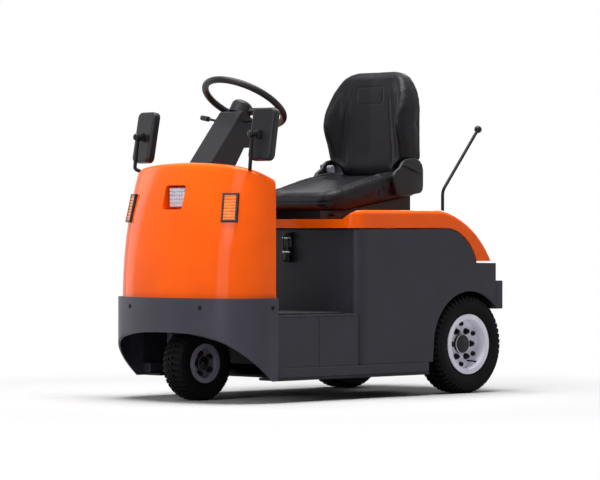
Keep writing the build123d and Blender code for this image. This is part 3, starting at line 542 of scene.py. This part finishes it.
def makeWheelFace(wheel):
    name, side, face = wheel["hub"], wheel["side"], wheelFaces[wheel["kind"]]
    centre = spot(*wheel["at"])
    parts = []
    for row in face["rows"]:
        seat = centre + Vector((row["circleD"] / 2, side * face["discY"], 0)) * mm
        parts.append(repeat(name + row["label"], nutMesh(row, seat, side), ringOf,
                            {"Count": row["count"], "Phase": row["phase"], "Centre": centre}, "blackOxide"))
    # domed hub cap with a lip and a centre boss
    cap = face["capD"] / 2
    profile = [(cap * share + more, side * (face["capY"] + rise)) for share, more, rise in capProfile]
    profile.append((cap + capLip, side * face["discY"]))
    parts.append(addPiece(name + "Cap", spin(profile, centre, steps=48, smoothAngle=30, closed=False), "smoothAbs"))
    if "valve" in face:
        # valve stem, bent out of the disc towards the rim's edge
        curve = setAll(bpy.data.curves.new(name + "Valve", "CURVE"), dimensions="3D", bevel_depth=valveRadius * mm,
                       bevel_resolution=3)
        line = curve.splines.new("POLY")
        line.points.add(len(face["valve"]) - 1)
        for point, (x, y, z) in zip(line.points, face["valve"]):
            point.co = (*(centre + Vector((x, side * y, z)) * mm), 1)
        stem = addPiece(name + "Stem", curve)
        parts.append(addPiece(name + "Valve", bakedMesh(stem), "blackOxide"))
        bpy.data.objects.remove(stem)
    joinPieces(name, parts, wheel["body"])


for wheel in wheels:
    makeWheelFace(wheel)
print("wheel faces made")


# seat: two foam pads in vinyl, swollen by a short cloth run, then grooved along their seams
def table(rows, at):
    # straight-line reading of a short table of (position, value)
    if at <= rows[0][0]:
        return rows[0][1]
    for (x0, v0), (x1, v1) in zip(rows, rows[1:]):
        if at <= x1:
            return v0 + (v1 - v0) * (at - x0) / (x1 - x0)
    return rows[-1][1]


def ease(low, high, at):
    share = min(max((at - low) / (high - low), 0.0), 1.0)
    return share * share * (3 - 2 * share)


def rounded(inside, radius):
    # how far a face falls away at this distance inside its edge
    if inside >= radius:
        return 0.0
    return radius - math.sqrt(max(radius * radius - (radius - inside) ** 2, 0.0))


# the cushion's tables run along X, the back's up Z
cushionPad = dict(
    rim=[(99, 850), (120, 858), (220, 862), (300, 852), (394, 829), (512, 797), (550, 790), (575, 781), (590, 768),
         (599, 746)],
    floor=[(99, 776), (490, 714), (580, 714), (599, 724)],
    half=[(99, 190), (120, 199), (180, 203), (530, 203), (556, 198), (575, 187), (589, 170), (599, 142)],
    dish=[(150, 10), (230, 26), (420, 24), (540, 12), (590, 2)], bolster=(110, 172), edge=17, floorEdge=12,
    floorShare=0.985, capMm=5, stations=44, around=72,
)
backPad = dict(
    half=[(846, 156), (880, 162), (900, 188), (911, 211), (1043, 213), (1116, 212), (1150, 207), (1185, 196),
          (1220, 177), (1243, 158), (1256, 134), (1263, 100)],
    front=[(846, 173), (900, 178), (980, 181), (1100, 180), (1180, 175), (1238, 165), (1263, 144)],
    rear=[(846, 104), (880, 99), (1200, 99), (1243, 101), (1263, 112)],
    wing=[(846, 0), (900, 20), (975, 36), (1020, 52), (1051, 58), (1090, 51), (1150, 29), (1210, 10), (1243, 0)],
    bolster=(0.68, 0.9), edge=15, edgeShare=0.48, wingEdge=0.25, hollow=9, hollowFrom=(880, 960), rearEdge=8, capMm=4,
    stations=56, around=92,
)
voxelMm = 6.0
clothFrames = 20
clothSettings = dict(quality=4, use_pressure=True, uniform_pressure_force=4.0, tension_stiffness=12,
                     compression_stiffness=12)


def padMesh(pad, ringAt):
    low, high, steps = pad["half"][0][0], pad["half"][-1][0], pad["stations"]
    return skin([ringAt(pad, low + (high - low) * i / steps) for i in range(steps + 1)], smoothAngle=180)


def cushionRing(pad, x):
    half, top, base, dish = (table(pad[key], x) for key in ("half", "rim", "floor", "dish"))
    upper = pad["around"] // 2
    ring = []
    for j in range(upper):
        y = -half + 2 * half * j / (upper - 1)
        sunk = dish * (1 - ease(*pad["bolster"], abs(y)))
        ring.append((y, top - sunk - rounded(half - abs(y), pad["edge"])))
    for j in range(upper):
        y = half - 2 * half * j / (upper - 1)
        ring.append((y * pad["floorShare"], base + rounded(half - abs(y), pad["floorEdge"])))
    return [spot(x, y, max(z, base)) for y, z in ring]


def backRing(pad, z):
    half, front, rear, wing = (table(pad[key], z) for key in ("half", "front", "rear", "wing"))
    edge = min(pad["edge"], (front - rear) * pad["edgeShare"]) + wing * pad["wingEdge"]
    hollow = ease(*pad["hollowFrom"], z)
    upper = pad["around"] // 2
    ring = []
    for j in range(upper):
        u = -1 + 2 * j / (upper - 1)
        stand = wing * ease(*pad["bolster"], abs(u)) - pad["hollow"] * (1 - abs(u)) * hollow
        ring.append((front + stand - rounded((1 - abs(u)) * half, edge), u * half))
    for j in range(upper):
        u = 1 - 2 * j / (upper - 1)
        ring.append((rear + rounded((1 - abs(u)) * half, pad["rearEdge"]), u * half))
    return [spot(x, y, z) for x, y in ring]


def swell(piece, capMm):
    # voxel remesh, then a short cloth run under pressure with gravity off, each point's travel capped
    setAll(piece.modifiers.new("even", "REMESH"), mode="VOXEL", voxel_size=voxelMm * mm)
    settle(piece)
    scene = bpy.context.scene
    start = [vertex.co.copy() for vertex in piece.data.vertices]
    cloth = piece.modifiers.new("stuffing", "CLOTH")
    setAll(cloth.settings, **clothSettings).effector_weights.gravity = 0
    cloth.collision_settings.use_collision = False
    setAll(cloth.point_cache, frame_start=1, frame_end=clothFrames)
    for step in range(1, clothFrames + 1):
        scene.frame_set(step)
    puffed = piece.evaluated_get(bpy.context.evaluated_depsgraph_get()).to_mesh()
    ends = [vertex.co.copy() for vertex in puffed.vertices]
    piece.modifiers.clear()
    scene.frame_set(1)
    for vertex, begin, end in zip(piece.data.vertices, start, ends):
        travel = end - begin
        if travel.length > capMm * mm:
            travel *= capMm * mm / travel.length
        vertex.co = begin + travel
    setAll(piece.modifiers.new("calm", "SMOOTH"), factor=0.5, iterations=5)
    setAll(piece.modifiers.new("fine", "SUBSURF"), levels=1, render_levels=1)
    settle(piece)
    for face in piece.data.polygons:
        face.use_smooth = True


# seams as a share of the full depth and a line for one side: (across, height) on the back, (x, across) on the cushion
backSeams = [
    (1.0, [(126, 1176), (138, 1100), (148, 1020), (154, 920), (154, 862)]),
    (0.4, [(108, 1150), (118, 1050), (126, 960), (128, 880)]),
]
cushionSeams = [
    (0.9, [(560, 150), (420, 152), (300, 152), (215, 148)]),
    (0.7, [(215, 0), (215, 148)]),
]
# a seam is pressed only where the pad faces its way: forwards on the back, up on the cushion
seams = dict(depthMm=4.0, halfMm=4.5, backFacing=0.25, topFacing=0.3)
# the welt across the cushion's front edge, and the plain frame pressed into the back
welt = dict(z=742, depthMm=2.0, halfMm=3.5, facing=0.5)
frameMark = dict(half=70, low=1134, high=1200, corner=12, lineMm=2.6, depthMm=2.4)


def lineDistance(points, a, b):
    best = math.inf
    for (a0, b0), (a1, b1) in zip(points, points[1:]):
        da, db = a1 - a0, b1 - b0
        share = ((a - a0) * da + (b - b0) * db) / (da * da + db * db)
        share = min(max(share, 0.0), 1.0)
        best = min(best, math.hypot(a - a0 - share * da, b - b0 - share * db))
    return best


def frameDistance(y, z):
    low, high, corner = frameMark["low"], frameMark["high"], frameMark["corner"]
    over = (abs(y) - frameMark["half"] + corner, abs(z - (low + high) / 2) - (high - low) / 2 + corner)
    outside = math.hypot(max(over[0], 0), max(over[1], 0)) + min(max(over), 0.0)
    return abs(outside - corner)


def groove(depth, half, gap):
    return depth * math.exp(-(gap / half) ** 2)


def seamSink(lines, a, b):
    return max(groove(share * seams["depthMm"], seams["halfMm"], lineDistance(line, a, b)) for share, line in lines)


def backSink(x, y, z, normal):
    if normal.x < seams["backFacing"]:
        return 0.0
    return max(seamSink(backSeams, abs(y), z), groove(frameMark["depthMm"], frameMark["lineMm"], frameDistance(y, z)))


def cushionSink(x, y, z, normal):
    if normal.z > seams["topFacing"]:
        return seamSink(cushionSeams, x, abs(y))
    if normal.x > welt["facing"]:
        return groove(welt["depthMm"], welt["halfMm"], abs(z - welt["z"]))
    return 0.0


def pressSeams(piece, sinkAt):
    # normals are read before anything moves
    facing = [vertex.normal.copy() for vertex in piece.data.vertices]
    for vertex, normal in zip(piece.data.vertices, facing):
        x, y, z = vertex.co.x / mm + midX, vertex.co.y / mm, vertex.co.z / mm
        vertex.co -= normal * sinkAt(x, y, z, normal) * mm


seatCushion = addPiece("seatCushion", padMesh(cushionPad, cushionRing), "seatVinyl")
seatBack = addPiece("seatBack", padMesh(backPad, backRing), "seatVinyl")
for piece, pad, sinkAt in ((seatCushion, cushionPad, cushionSink), (seatBack, backPad, backSink)):
    swell(piece, pad["capMm"])
    piece.data.materials.clear()
    piece.data.materials.append(paint["seatVinyl"])
    pressSeams(piece, sinkAt)
for piece, node in ((seatCushion, "seat_cushion"), (seatBack, "seat_back")):
    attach(piece, "cover")
    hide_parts(node)
print("seat pads swollen:", len(seatCushion.data.polygons), len(seatBack.data.polygons), "faces")


# helpers for the fittings: a turned part on any axis, a ribbed bar, a pillowed cell, and places on a CAD face
def turned(profile, at, axis, steps=28, smoothAngle=32):
    # profile rows are (radius, height along the axis) in mm
    axis = Vector(axis).normalized()
    side = axis.orthogonal().normalized()
    other = axis.cross(side)
    return skin([[at + axis * height * mm + (side * c + other * s) * max(radius, tipMm) * mm for c, s in circle(steps)]
                 for radius, height in profile], smoothAngle)


ribSection = [(-1, -0.2), (-0.94, 0.35), (-0.62, 0.84), (0, 1), (0.62, 0.84), (0.94, 0.35), (1, -0.2)]


def ribBar(middle, along, out, halfLength, halfWidth, height):
    # a low rounded rib lying on a face
    along, out = Vector(along).normalized(), Vector(out).normalized()
    side = along.cross(out)
    start = middle - along * halfLength * mm
    return prism([start + side * a * halfWidth * mm + out * b * height * mm for a, b in ribSection],
                 along * 2 * halfLength * mm, smoothAngle=50)


def pillow(middle, across, up, out, halfA, halfB, height, levels=((1, 0), (0.95, 0.5), (0.8, 0.85), (0.45, 1))):
    # a four-sided pad that rises from the face in levels of (share of the size, share of the height)
    across, up, out = (Vector(v).normalized() for v in (across, up, out))
    corners = ((-1, -1), (1, -1), (1, 1), (-1, 1))
    return skin([[middle + across * a * halfA * share * mm + up * b * halfB * share * mm + out * rise * height * mm
                  for a, b in corners] for share, rise in levels], smoothAngle=40)


def slab(name, outline, y0, y1, edgeMm, finish):
    # an (x, z) outline with a thickness along Y and rounded edges
    piece = addPiece(name, prism([spot(x, y0, z) for x, z in outline], (0, (y1 - y0) * mm, 0), smoothAngle=30), finish)
    bevelEdges(piece, edgeMm, segments=3, angle=25)
    return settle(piece)


# triangles count as one flat face when they look this nearly the same way and lie this level
flatFace = dict(facing=0.999, levelMm=0.5)


def faceOf(name, direction, side=0):
    # middle, outward, across, up and half sizes of the flat face that looks most along direction
    look = Vector(direction).normalized()
    mesh = nodes[name].data
    faces = [face for face in mesh.polygons if side == 0 or face.center.y * side > 0]
    best = max(faces, key=lambda face: face.normal.dot(look))
    out = best.normal.copy()
    level = best.center.dot(out)
    points = [mesh.vertices[i].co for face in faces for i in face.vertices
              if face.normal.dot(out) > flatFace["facing"]
              and abs(face.center.dot(out) - level) < flatFace["levelMm"] * mm]
    up = (Vector(alongZ) - out * out.z).normalized()
    across = up.cross(out)
    spans = [(min(p.dot(v) for p in points), max(p.dot(v) for p in points)) for v in (across, up)]
    middle = across * sum(spans[0]) / 2 + up * sum(spans[1]) / 2 + out * level
    return middle, out, across, up, (spans[0][1] - spans[0][0]) / 2 / mm, (spans[1][1] - spans[1][0]) / 2 / mm


def landOn(name, start, direction):
    # where a line from start meets the CAD node, and that face's normal
    mesh = nodes[name].data
    tree = BVHTree.FromPolygons([v.co for v in mesh.vertices], [face.vertices for face in mesh.polygons])
    place, normal, _, _ = tree.ray_cast(spot(*start), Vector(direction).normalized())
    return place, normal


def fixings(name, places, item, body, finish):
    # one item on every (place, facing)
    points = bpy.data.meshes.new(name)
    points.from_pydata([place for place, _ in places], [], [])
    facing = points.attributes.new("facing", "FLOAT_VECTOR", "POINT")
    for row, (_, normal) in zip(facing.data, places):
        row.vector = normal
    model = addPiece(name + "Item", item, finish)
    piece = repeat(name, points, spotsOf, {"Item": model}, finish, body)
    bpy.data.objects.remove(model)
    return piece


def ribsInLine(name, rib, count, step, finish):
    repeat(name, rib, rowsOf, {"Across": 1, "Along": count, "Across Step": Vector(), "Along Step": step}, finish,
           "chassis")


def ribsUpFace(name, face, finish, slotName, count, reach, share, rise):
    # reach is a rib's share of the face's width, share its half width as a share of the pitch
    middle, out, across, up, halfA, halfB = face
    pitch = 2 * halfB / count
    rib = ribBar(middle - up * (halfB - pitch / 2) * mm, across, out, halfA * reach, pitch * share, rise)
    ribsInLine(name, rib, count, up * pitch * mm, finish)


# lamps: a pillowed headlight lens, ribs across the indicators and the tail lamps, and a frame round each indicator
lamps = dict(cells=(6, 5), cellShare=0.47, cellRise=5.0)
lampRib = dict(reach=0.96, share=0.4, rise=2.2)
lampRibs = [
    # CAD node, piece, ribs, the way it looks, finish, slot
    ("indicator_lenses", "indicatorRibs", 9, (1, 0.4, 0), "amberAcrylic", "amber_lens"),
    ("tail_lamps", "tailRibs", 7, (-1, 0, 0), "redAcrylic", "red_lens"),
]
lampFrame = dict(half=4.5, rise=3.4, inset=1.5, over=3)


def makeLampFrame(name, face):
    middle, out, across, up, halfA, halfB = face
    edges = []
    for way, reach, along, length in ((up, halfB, across, halfA), (across, halfA, up, halfB)):
        for sign in (1, -1):
            bar = ribBar(middle + way * sign * (reach - lampFrame["inset"]) * mm, along, out,
                         length + lampFrame["over"], lampFrame["half"], lampFrame["rise"])
            edges.append(addPiece("edge", bar, "smoothAbs"))
    joinPieces(name, edges, "chassis")


def makeLamps():
    middle, out, across, up, halfA, halfB = faceOf("headlight_lens", alongX)
    columns, rows = lamps["cells"]
    stepA, stepB = 2 * halfA / columns, 2 * halfB / rows
    corner = middle - across * (halfA - stepA / 2) * mm - up * (halfB - stepB / 2) * mm
    share = lamps["cellShare"]
    repeat("headlightCells", pillow(corner, across, up, out, stepA * share, stepB * share, lamps["cellRise"]), rowsOf,
           {"Across": columns, "Along": rows, "Across Step": across * stepA * mm, "Along Step": up * stepB * mm},
           "opalLens", "chassis")
    for node, name, count, look, finish, slotName in lampRibs:
        for side, label in ((1, "Left"), (-1, "Right")):
            face = faceOf(node, (look[0], look[1] * side, look[2]), side)
            if node == "indicator_lenses":
                makeLampFrame("indicatorFrame" + label, face)
            ribsUpFace(name + label, face, finish, slotName, count, **lampRib)


makeLamps()
print("lamps ribbed")

# screws on the skirt and bolts on the bumper, each set on the face under it: where its line starts, and which way
screwHead = [(0, 2.0), (2.6, 2.0), (3.0, 3.4), (6.4, 3.0), (8.4, 1.6), (9.0, 0.2), (9.0, -1.5)]
screwLines = [((1500, 205, 352), (-1, -0.05, 0)), ((1500, -205, 352), (-1, 0.05, 0)),
              ((1068, 700, 352), (0, -1, 0)), ((1068, -700, 352), (0, 1, 0))]
boltHead = [(0, 6.0), (8.0, 6.0), (9.0, 5.0), (9.0, 0.4), (12.0, 0.2), (12.0, -1.5)]
boltRow = dict(fromX=-400, across=(-240, -150, 150, 240))


def makeScrews():
    low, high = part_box("rear_bumper")
    height = (low[2] + high[2]) / 2 / mm
    boltLines = [((boltRow["fromX"], y, height), alongX) for y in boltRow["across"]]
    for name, node, lines, item in (
        ("skirtScrews", "front_skirt", screwLines, turned(screwHead, Vector(), alongZ, steps=20)),
        ("bumperBolts", "rear_bumper", boltLines, turned(boltHead, Vector(), alongZ, steps=6, smoothAngle=20)),
    ):
        places = [landOn(node, start, way) for start, way in lines]
        fixings(name, [row for row in places if row[0]], item, "chassis", "blackOxide")


makeScrews()
print("screws set")

# seat: recliner covers with their levers, and the buckle on the far side; each an (x, z) outline between two y values
recliner = dict(
    cover=[(114, 781), (103, 792), (100, 812), (100, 872), (106, 893), (120, 908), (142, 916), (172, 917), (200, 911),
           (220, 898), (232, 880), (258, 864), (272, 846), (262, 806), (246, 770), (234, 763)],
    coverY=(207.4, 223.2), coverEdge=6,
    lever=[(222, 896), (196, 893), (168, 883), (140, 871), (118, 868), (116, 860), (142, 861), (172, 872), (200, 882),
           (224, 884)],
    leverY=(222.0, 229.5), leverEdge=2.2,
)
beltBuckle = dict(outline=[(196, 846), (214, 842), (226, 886), (222, 892), (206, 894), (202, 888)], y=(-192, -168),
                  edge=4)


def makeSeatTrim():
    parts = []
    for side in (1, -1):
        for key, finish in (("cover", "grainedAbs"), ("lever", "smoothAbs")):
            inner, outer = recliner[key + "Y"]
            parts.append(slab(key, recliner[key], side * inner, side * outer, recliner[key + "Edge"], finish))
    covers = joinPieces("reclinerCovers", parts, "cover")
    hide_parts("recliner_covers")
    buckle = slab("beltBuckle", beltBuckle["outline"], *beltBuckle["y"], beltBuckle["edge"], "greyNylon")
    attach(buckle, "cover")


makeSeatTrim()
print("seat trim made")

# cover latch: zinc pins, a wire bail, and a keeper and handle that stand on the latch's face
latch = dict(
    y=10, pins=[(642, 606), (642, 552)], pin=[(0, -21), (4, -20), (4, 20), (0, 21)],
    bail=[(-3, 558), (23, 558)], bailX=645, bailTop=612, bailRadius=2.4, faceX=640,
    # name, z, lean of its outward way, half sizes and height, finish
    pads=[("latchKeeper", 618, 0, (13, 8, 9), "blackOxide"), ("latchHandle", 532, 0.15, (14, 18, 8), "smoothAbs")],
)


def makeLatch():
    parts = []
    for x, z in latch["pins"]:
        pin = turned(latch["pin"], spot(x, latch["y"], z), alongY, steps=16)
        parts.append(addPiece("latchPin", pin, "zincPlate"))
    for y, z in latch["bail"]:
        profile = [(latch["bailRadius"], 0), (latch["bailRadius"], latch["bailTop"] - z)]
        rod = turned(profile, spot(latch["bailX"], y, z), alongZ, steps=12)
        parts.append(addPiece("latchRod", rod, "blackOxide"))
    for name, z, lean, size, finish in latch["pads"]:
        pad = pillow(spot(latch["faceX"], latch["y"], z), alongY, alongZ, (1, 0, lean), *size)
        parts.append(addPiece(name, pad, finish))
    joinPieces("latchFittings", parts, "chassis")


makeLatch()
print("latch made")

# mirrors: a clamp with its knob, and a block, where each arm meets its housing
mirrorClamp = dict(
    profile=[(0, -18), (9, -18), (11, -15), (11, 5), (7, 7), (7, 12), (12, 14), (13.5, 18), (13.5, 24), (10, 28),
             (0, 29)],
    x=1104, y=317, z=990, lean=-0.15,
)
mirrorBlock = dict(x=1086, y=320, z=990, size=(12, 15, 14), levels=((1, 0), (1, 0.7), (0.86, 0.95), (0.6, 1)))


def makeMirrorFittings():
    clamp, block = mirrorClamp, mirrorBlock
    parts = []
    for side in (1, -1):
        knob = turned(clamp["profile"], spot(clamp["x"], side * clamp["y"], clamp["z"]),
                      (1, side * clamp["lean"], 0), steps=24)
        parts.append(addPiece("mirrorClamp", knob, "smoothAbs"))
        base = pillow(spot(block["x"], side * block["y"], block["z"]), alongY, alongZ, alongX, *block["size"],
                      block["levels"])
        parts.append(addPiece("mirrorBlock", base, "grainedAbs"))
    joinPieces("mirrorFittings", parts, "chassis")


makeMirrorFittings()
print("mirror fittings made")

# bulb seal along the top of the seat-base wall, under the cover's front lip
seal = dict(halfWidth=4, rise=4.9, inset=6)


def makeSeal():
    low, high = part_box("seat_base_wall")
    middle = Vector(((low[0] + high[0]) / 2, 0, high[2]))
    half = (high[1] - low[1]) / 2 / mm - seal["inset"]
    bar = ribBar(middle, alongY, alongZ, half, seal["halfWidth"], seal["rise"])
    addPiece("coverSeal", bar, "ribbedRubber", "chassis")


makeSeal()
print("seal laid")

# ribs on the mat and on the pedals
matTread = dict(first=(668, 0, 326), pitch=16, ribs=20)
matRib = dict(halfLength=332, halfWidth=4, height=2.4)
pedalLook = (-0.8, 0, 0.6)
pedalRib = dict(count=6, reach=0.86, share=0.3, rise=2.2)


def makeTreads():
    rib = ribBar(spot(*matTread["first"]), alongY, alongZ, **matRib)
    ribsInLine("matRibs", rib, matTread["ribs"], Vector(alongX) * matTread["pitch"] * mm, "ribbedRubber")
    for node, name in (("brake_pedal", "brakeRibs"), ("accelerator_pedal", "acceleratorRibs")):
        ribsUpFace(name, faceOf(node, pedalLook), "ribbedRubber", "rubber", **pedalRib)


makeTreads()
print("mat and pedals ribbed")

# battery under the cover: cell lids, vent plugs and lead links in rows
cells = dict(first=(348, -250, 600), columns=4, rows=6, pitchX=72, pitchY=100, lidHalf=(34, 48), lidRise=9,
             lidLevels=((1, 0), (1, 0.6), (0.94, 1), (0.5, 1)), linkAt=(36, 30, 0), linkSize=(26, 9, 6))
ventPlug = [(13, 0), (13.5, 1), (13.5, 8), (11.5, 10), (5, 10.5), (4, 8.5), (0, 8.5)]


def makeBattery():
    first = spot(*cells["first"])
    top = first + Vector(alongZ) * cells["lidRise"] * mm
    steps = {"Across": cells["columns"], "Along": cells["rows"], "Across Step": Vector(alongX) * cells["pitchX"] * mm,
             "Along Step": Vector(alongY) * cells["pitchY"] * mm}
    lid = pillow(first, alongX, alongY, alongZ, *cells["lidHalf"], cells["lidRise"], cells["lidLevels"])
    plug = turned(ventPlug, top, alongZ, steps=20)
    link = ribBar(top + Vector(cells["linkAt"]) * mm, alongX, alongZ, *cells["linkSize"])
    parts = [repeat("cellLids", lid, rowsOf, steps, "batteryPolypropylene"),
             repeat("ventPlugs", plug, rowsOf, steps, "yellowVentPlug"),
             repeat("cellLinks", link, rowsOf, {**steps, "Across": cells["columns"] - 1}, "castLead")]
    joinPieces("batteryTop", parts, "chassis")


makeBattery()
print("battery top made")

# dash: a small screen, a key switch and a stop button on the driver's side of the panel
dash = dict(fromX=700, height=0.82, screenY=-170, keyY=130, buttonY=200)
screen = dict(edge=(58, 38, 8), edgeLevels=((1, -0.2), (1, 0.7), (0.95, 1), (0.84, 1), (0.82, 0.8)),
              glass=(47.5, 31, 0.6), glassRise=6.2)
keyRing = [(15, -1), (15, 4), (13, 6), (9, 6), (8, 4), (3, 4), (2.6, 9), (0, 9)]
stopButton = [(14, -1), (14, 5), (11, 6), (11, 12), (20, 14), (21, 18), (18, 24), (9, 27), (0, 27)]


def makeDash():
    low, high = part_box("dash_panel")
    height = (low[2] + (high[2] - low[2]) * dash["height"]) / mm
    parts = []
    for kind in ("screen", "key", "button"):
        place, normal = landOn("dash_panel", (dash["fromX"], dash[kind + "Y"], height), alongX)
        if not place:
            continue
        if kind == "screen":
            edge = pillow(place, alongY, alongZ, normal, *screen["edge"], screen["edgeLevels"])
            parts.append(addPiece("screenEdge", edge, "smoothAbs"))
            glass = pillow(place + normal * screen["glassRise"] * mm, alongY, alongZ, normal, *screen["glass"])
            parts.append(addPiece("screenGlass", glass, "screenGlass"))
        elif kind == "key":
            parts.append(addPiece("keySwitch", turned(keyRing, place, normal), "zincPlate"))
        else:
            parts.append(addPiece("stopButton", turned(stopButton, place, normal, steps=32), "signalRed"))
    if parts:
        joinPieces("dashFittings", parts, "chassis")


makeDash()
print("dash fitted")

# studio: pale floor, soft lights, and the camera where the photograph was taken
studio = dict(
    cameraAt=(8.7616, 8.8620, 0.6443), look=(-0.7010, -0.7131, -0.003726), lens=193.2, sensorMm=36, farClip=200,
    floorHalf=40, floorTone="C4C4C4", worldTone="FFFFFF", worldLevel=0.05, floorNear=0.9, floorFar=2.2,
)
softboxes = [
    # name, place, aimed at, width, height, watts
    ("frontBox", (4.6, 1.2, 3.0), (0.5, 0.1, 0.6), 2.2, 3.0, 62),
    ("bandBox", (4.9, 0.75, 1.4), (0.6, 0.0, 0.7), 2.4, 2.4, 50),
    ("rightStrip", (1.4, -4.0, 1.4), (0.6, -0.1, 0.6), 1.0, 2.6, 18),
    ("topBox", (0.3, 0.2, 4.2), (0.0, 0.0, 0.4), 3.4, 2.6, 330),
    ("rearRim", (-4.0, -1.5, 2.6), (-0.3, 0.0, 0.8), 1.6, 2.2, 60),
]


def aim(thing, target):
    thing.rotation_euler = (Vector(target) - thing.location).to_track_quat("-Z", "Y").to_euler()


def seenStraight(tree):
    # 1 for camera, glossy and transmission rays, 0 for light that bounces
    path = addNode(tree, "ShaderNodeLightPath").outputs
    seen = path["Is Camera Ray"]
    for kind in ("Is Glossy Ray", "Is Transmission Ray"):
        seen = addNode(tree, "ShaderNodeMath", {"operation": "MAXIMUM"}, links={0: seen, 1: path[kind]})
    return seen


def buildStudio():
    scene = bpy.context.scene
    scene.view_settings.view_transform = "Standard"
    lens = setAll(bpy.data.cameras.new("photoCamera"), lens=studio["lens"], sensor_width=studio["sensorMm"],
                  sensor_fit="HORIZONTAL", clip_end=studio["farClip"])
    camera = bpy.data.objects.new("photoCamera", lens)
    scene.collection.objects.link(camera)
    camera.location = studio["cameraAt"]
    aim(camera, Vector(studio["cameraAt"]) + Vector(studio["look"]))
    scene.camera = camera
    for name, place, target, width, height, watts in softboxes:
        lamp = setAll(bpy.data.lights.new(name, "AREA"), shape="RECTANGLE", size=width, size_y=height, energy=watts)
        box = bpy.data.objects.new(name, lamp)
        box.location = place
        aim(box, target)
        box.visible_camera = False
        scene.collection.objects.link(box)
    # a white surround that is seen and mirrored, and lights the part only a little
    scene.world = bpy.data.worlds.new("studioWorld")
    tree = emptyTree(scene.world)
    level = addNode(tree, "ShaderNodeMapRange", values={"To Min": studio["worldLevel"], "To Max": 1.0},
                    links={"Value": seenStraight(tree)})
    light = addNode(tree, "ShaderNodeBackground", values={"Color": hexColour(studio["worldTone"])},
                    links={"Strength": level})
    addNode(tree, "ShaderNodeOutputWorld", links={"Surface": light})
    # a matt floor near the part that blends to white further out
    work = bmesh.new()
    bmesh.ops.create_grid(work, x_segments=1, y_segments=1, size=studio["floorHalf"])
    floor = addPiece("studioFloor", meshOf(work))
    ground = bpy.data.materials.new("paleFloor")
    tree = emptyTree(ground)
    matt = addNode(tree, "ShaderNodeBsdfDiffuse", values={"Color": hexColour(studio["floorTone"])})
    white = addNode(tree, "ShaderNodeEmission", values={"Strength": 1.0})
    place = addNode(tree, "ShaderNodeTexCoord").outputs["Object"]
    away = addNode(tree, "ShaderNodeVectorMath", {"operation": "LENGTH"}, links={0: place})
    mask = addNode(tree, "ShaderNodeMapRange", {"interpolation_type": "SMOOTHSTEP"},
                   values={"From Min": studio["floorNear"], "From Max": studio["floorFar"]},
                   links={"Value": away.outputs["Value"]})
    share = addNode(tree, "ShaderNodeMath", {"operation": "MULTIPLY"}, links={0: mask, 1: seenStraight(tree)})
    both = addNode(tree, "ShaderNodeMixShader", links={0: share, 1: matt, 2: white})
    addNode(tree, "ShaderNodeOutputMaterial", links={"Surface": both})
    floor.data.materials.append(ground)


buildStudio()
print("studio built")
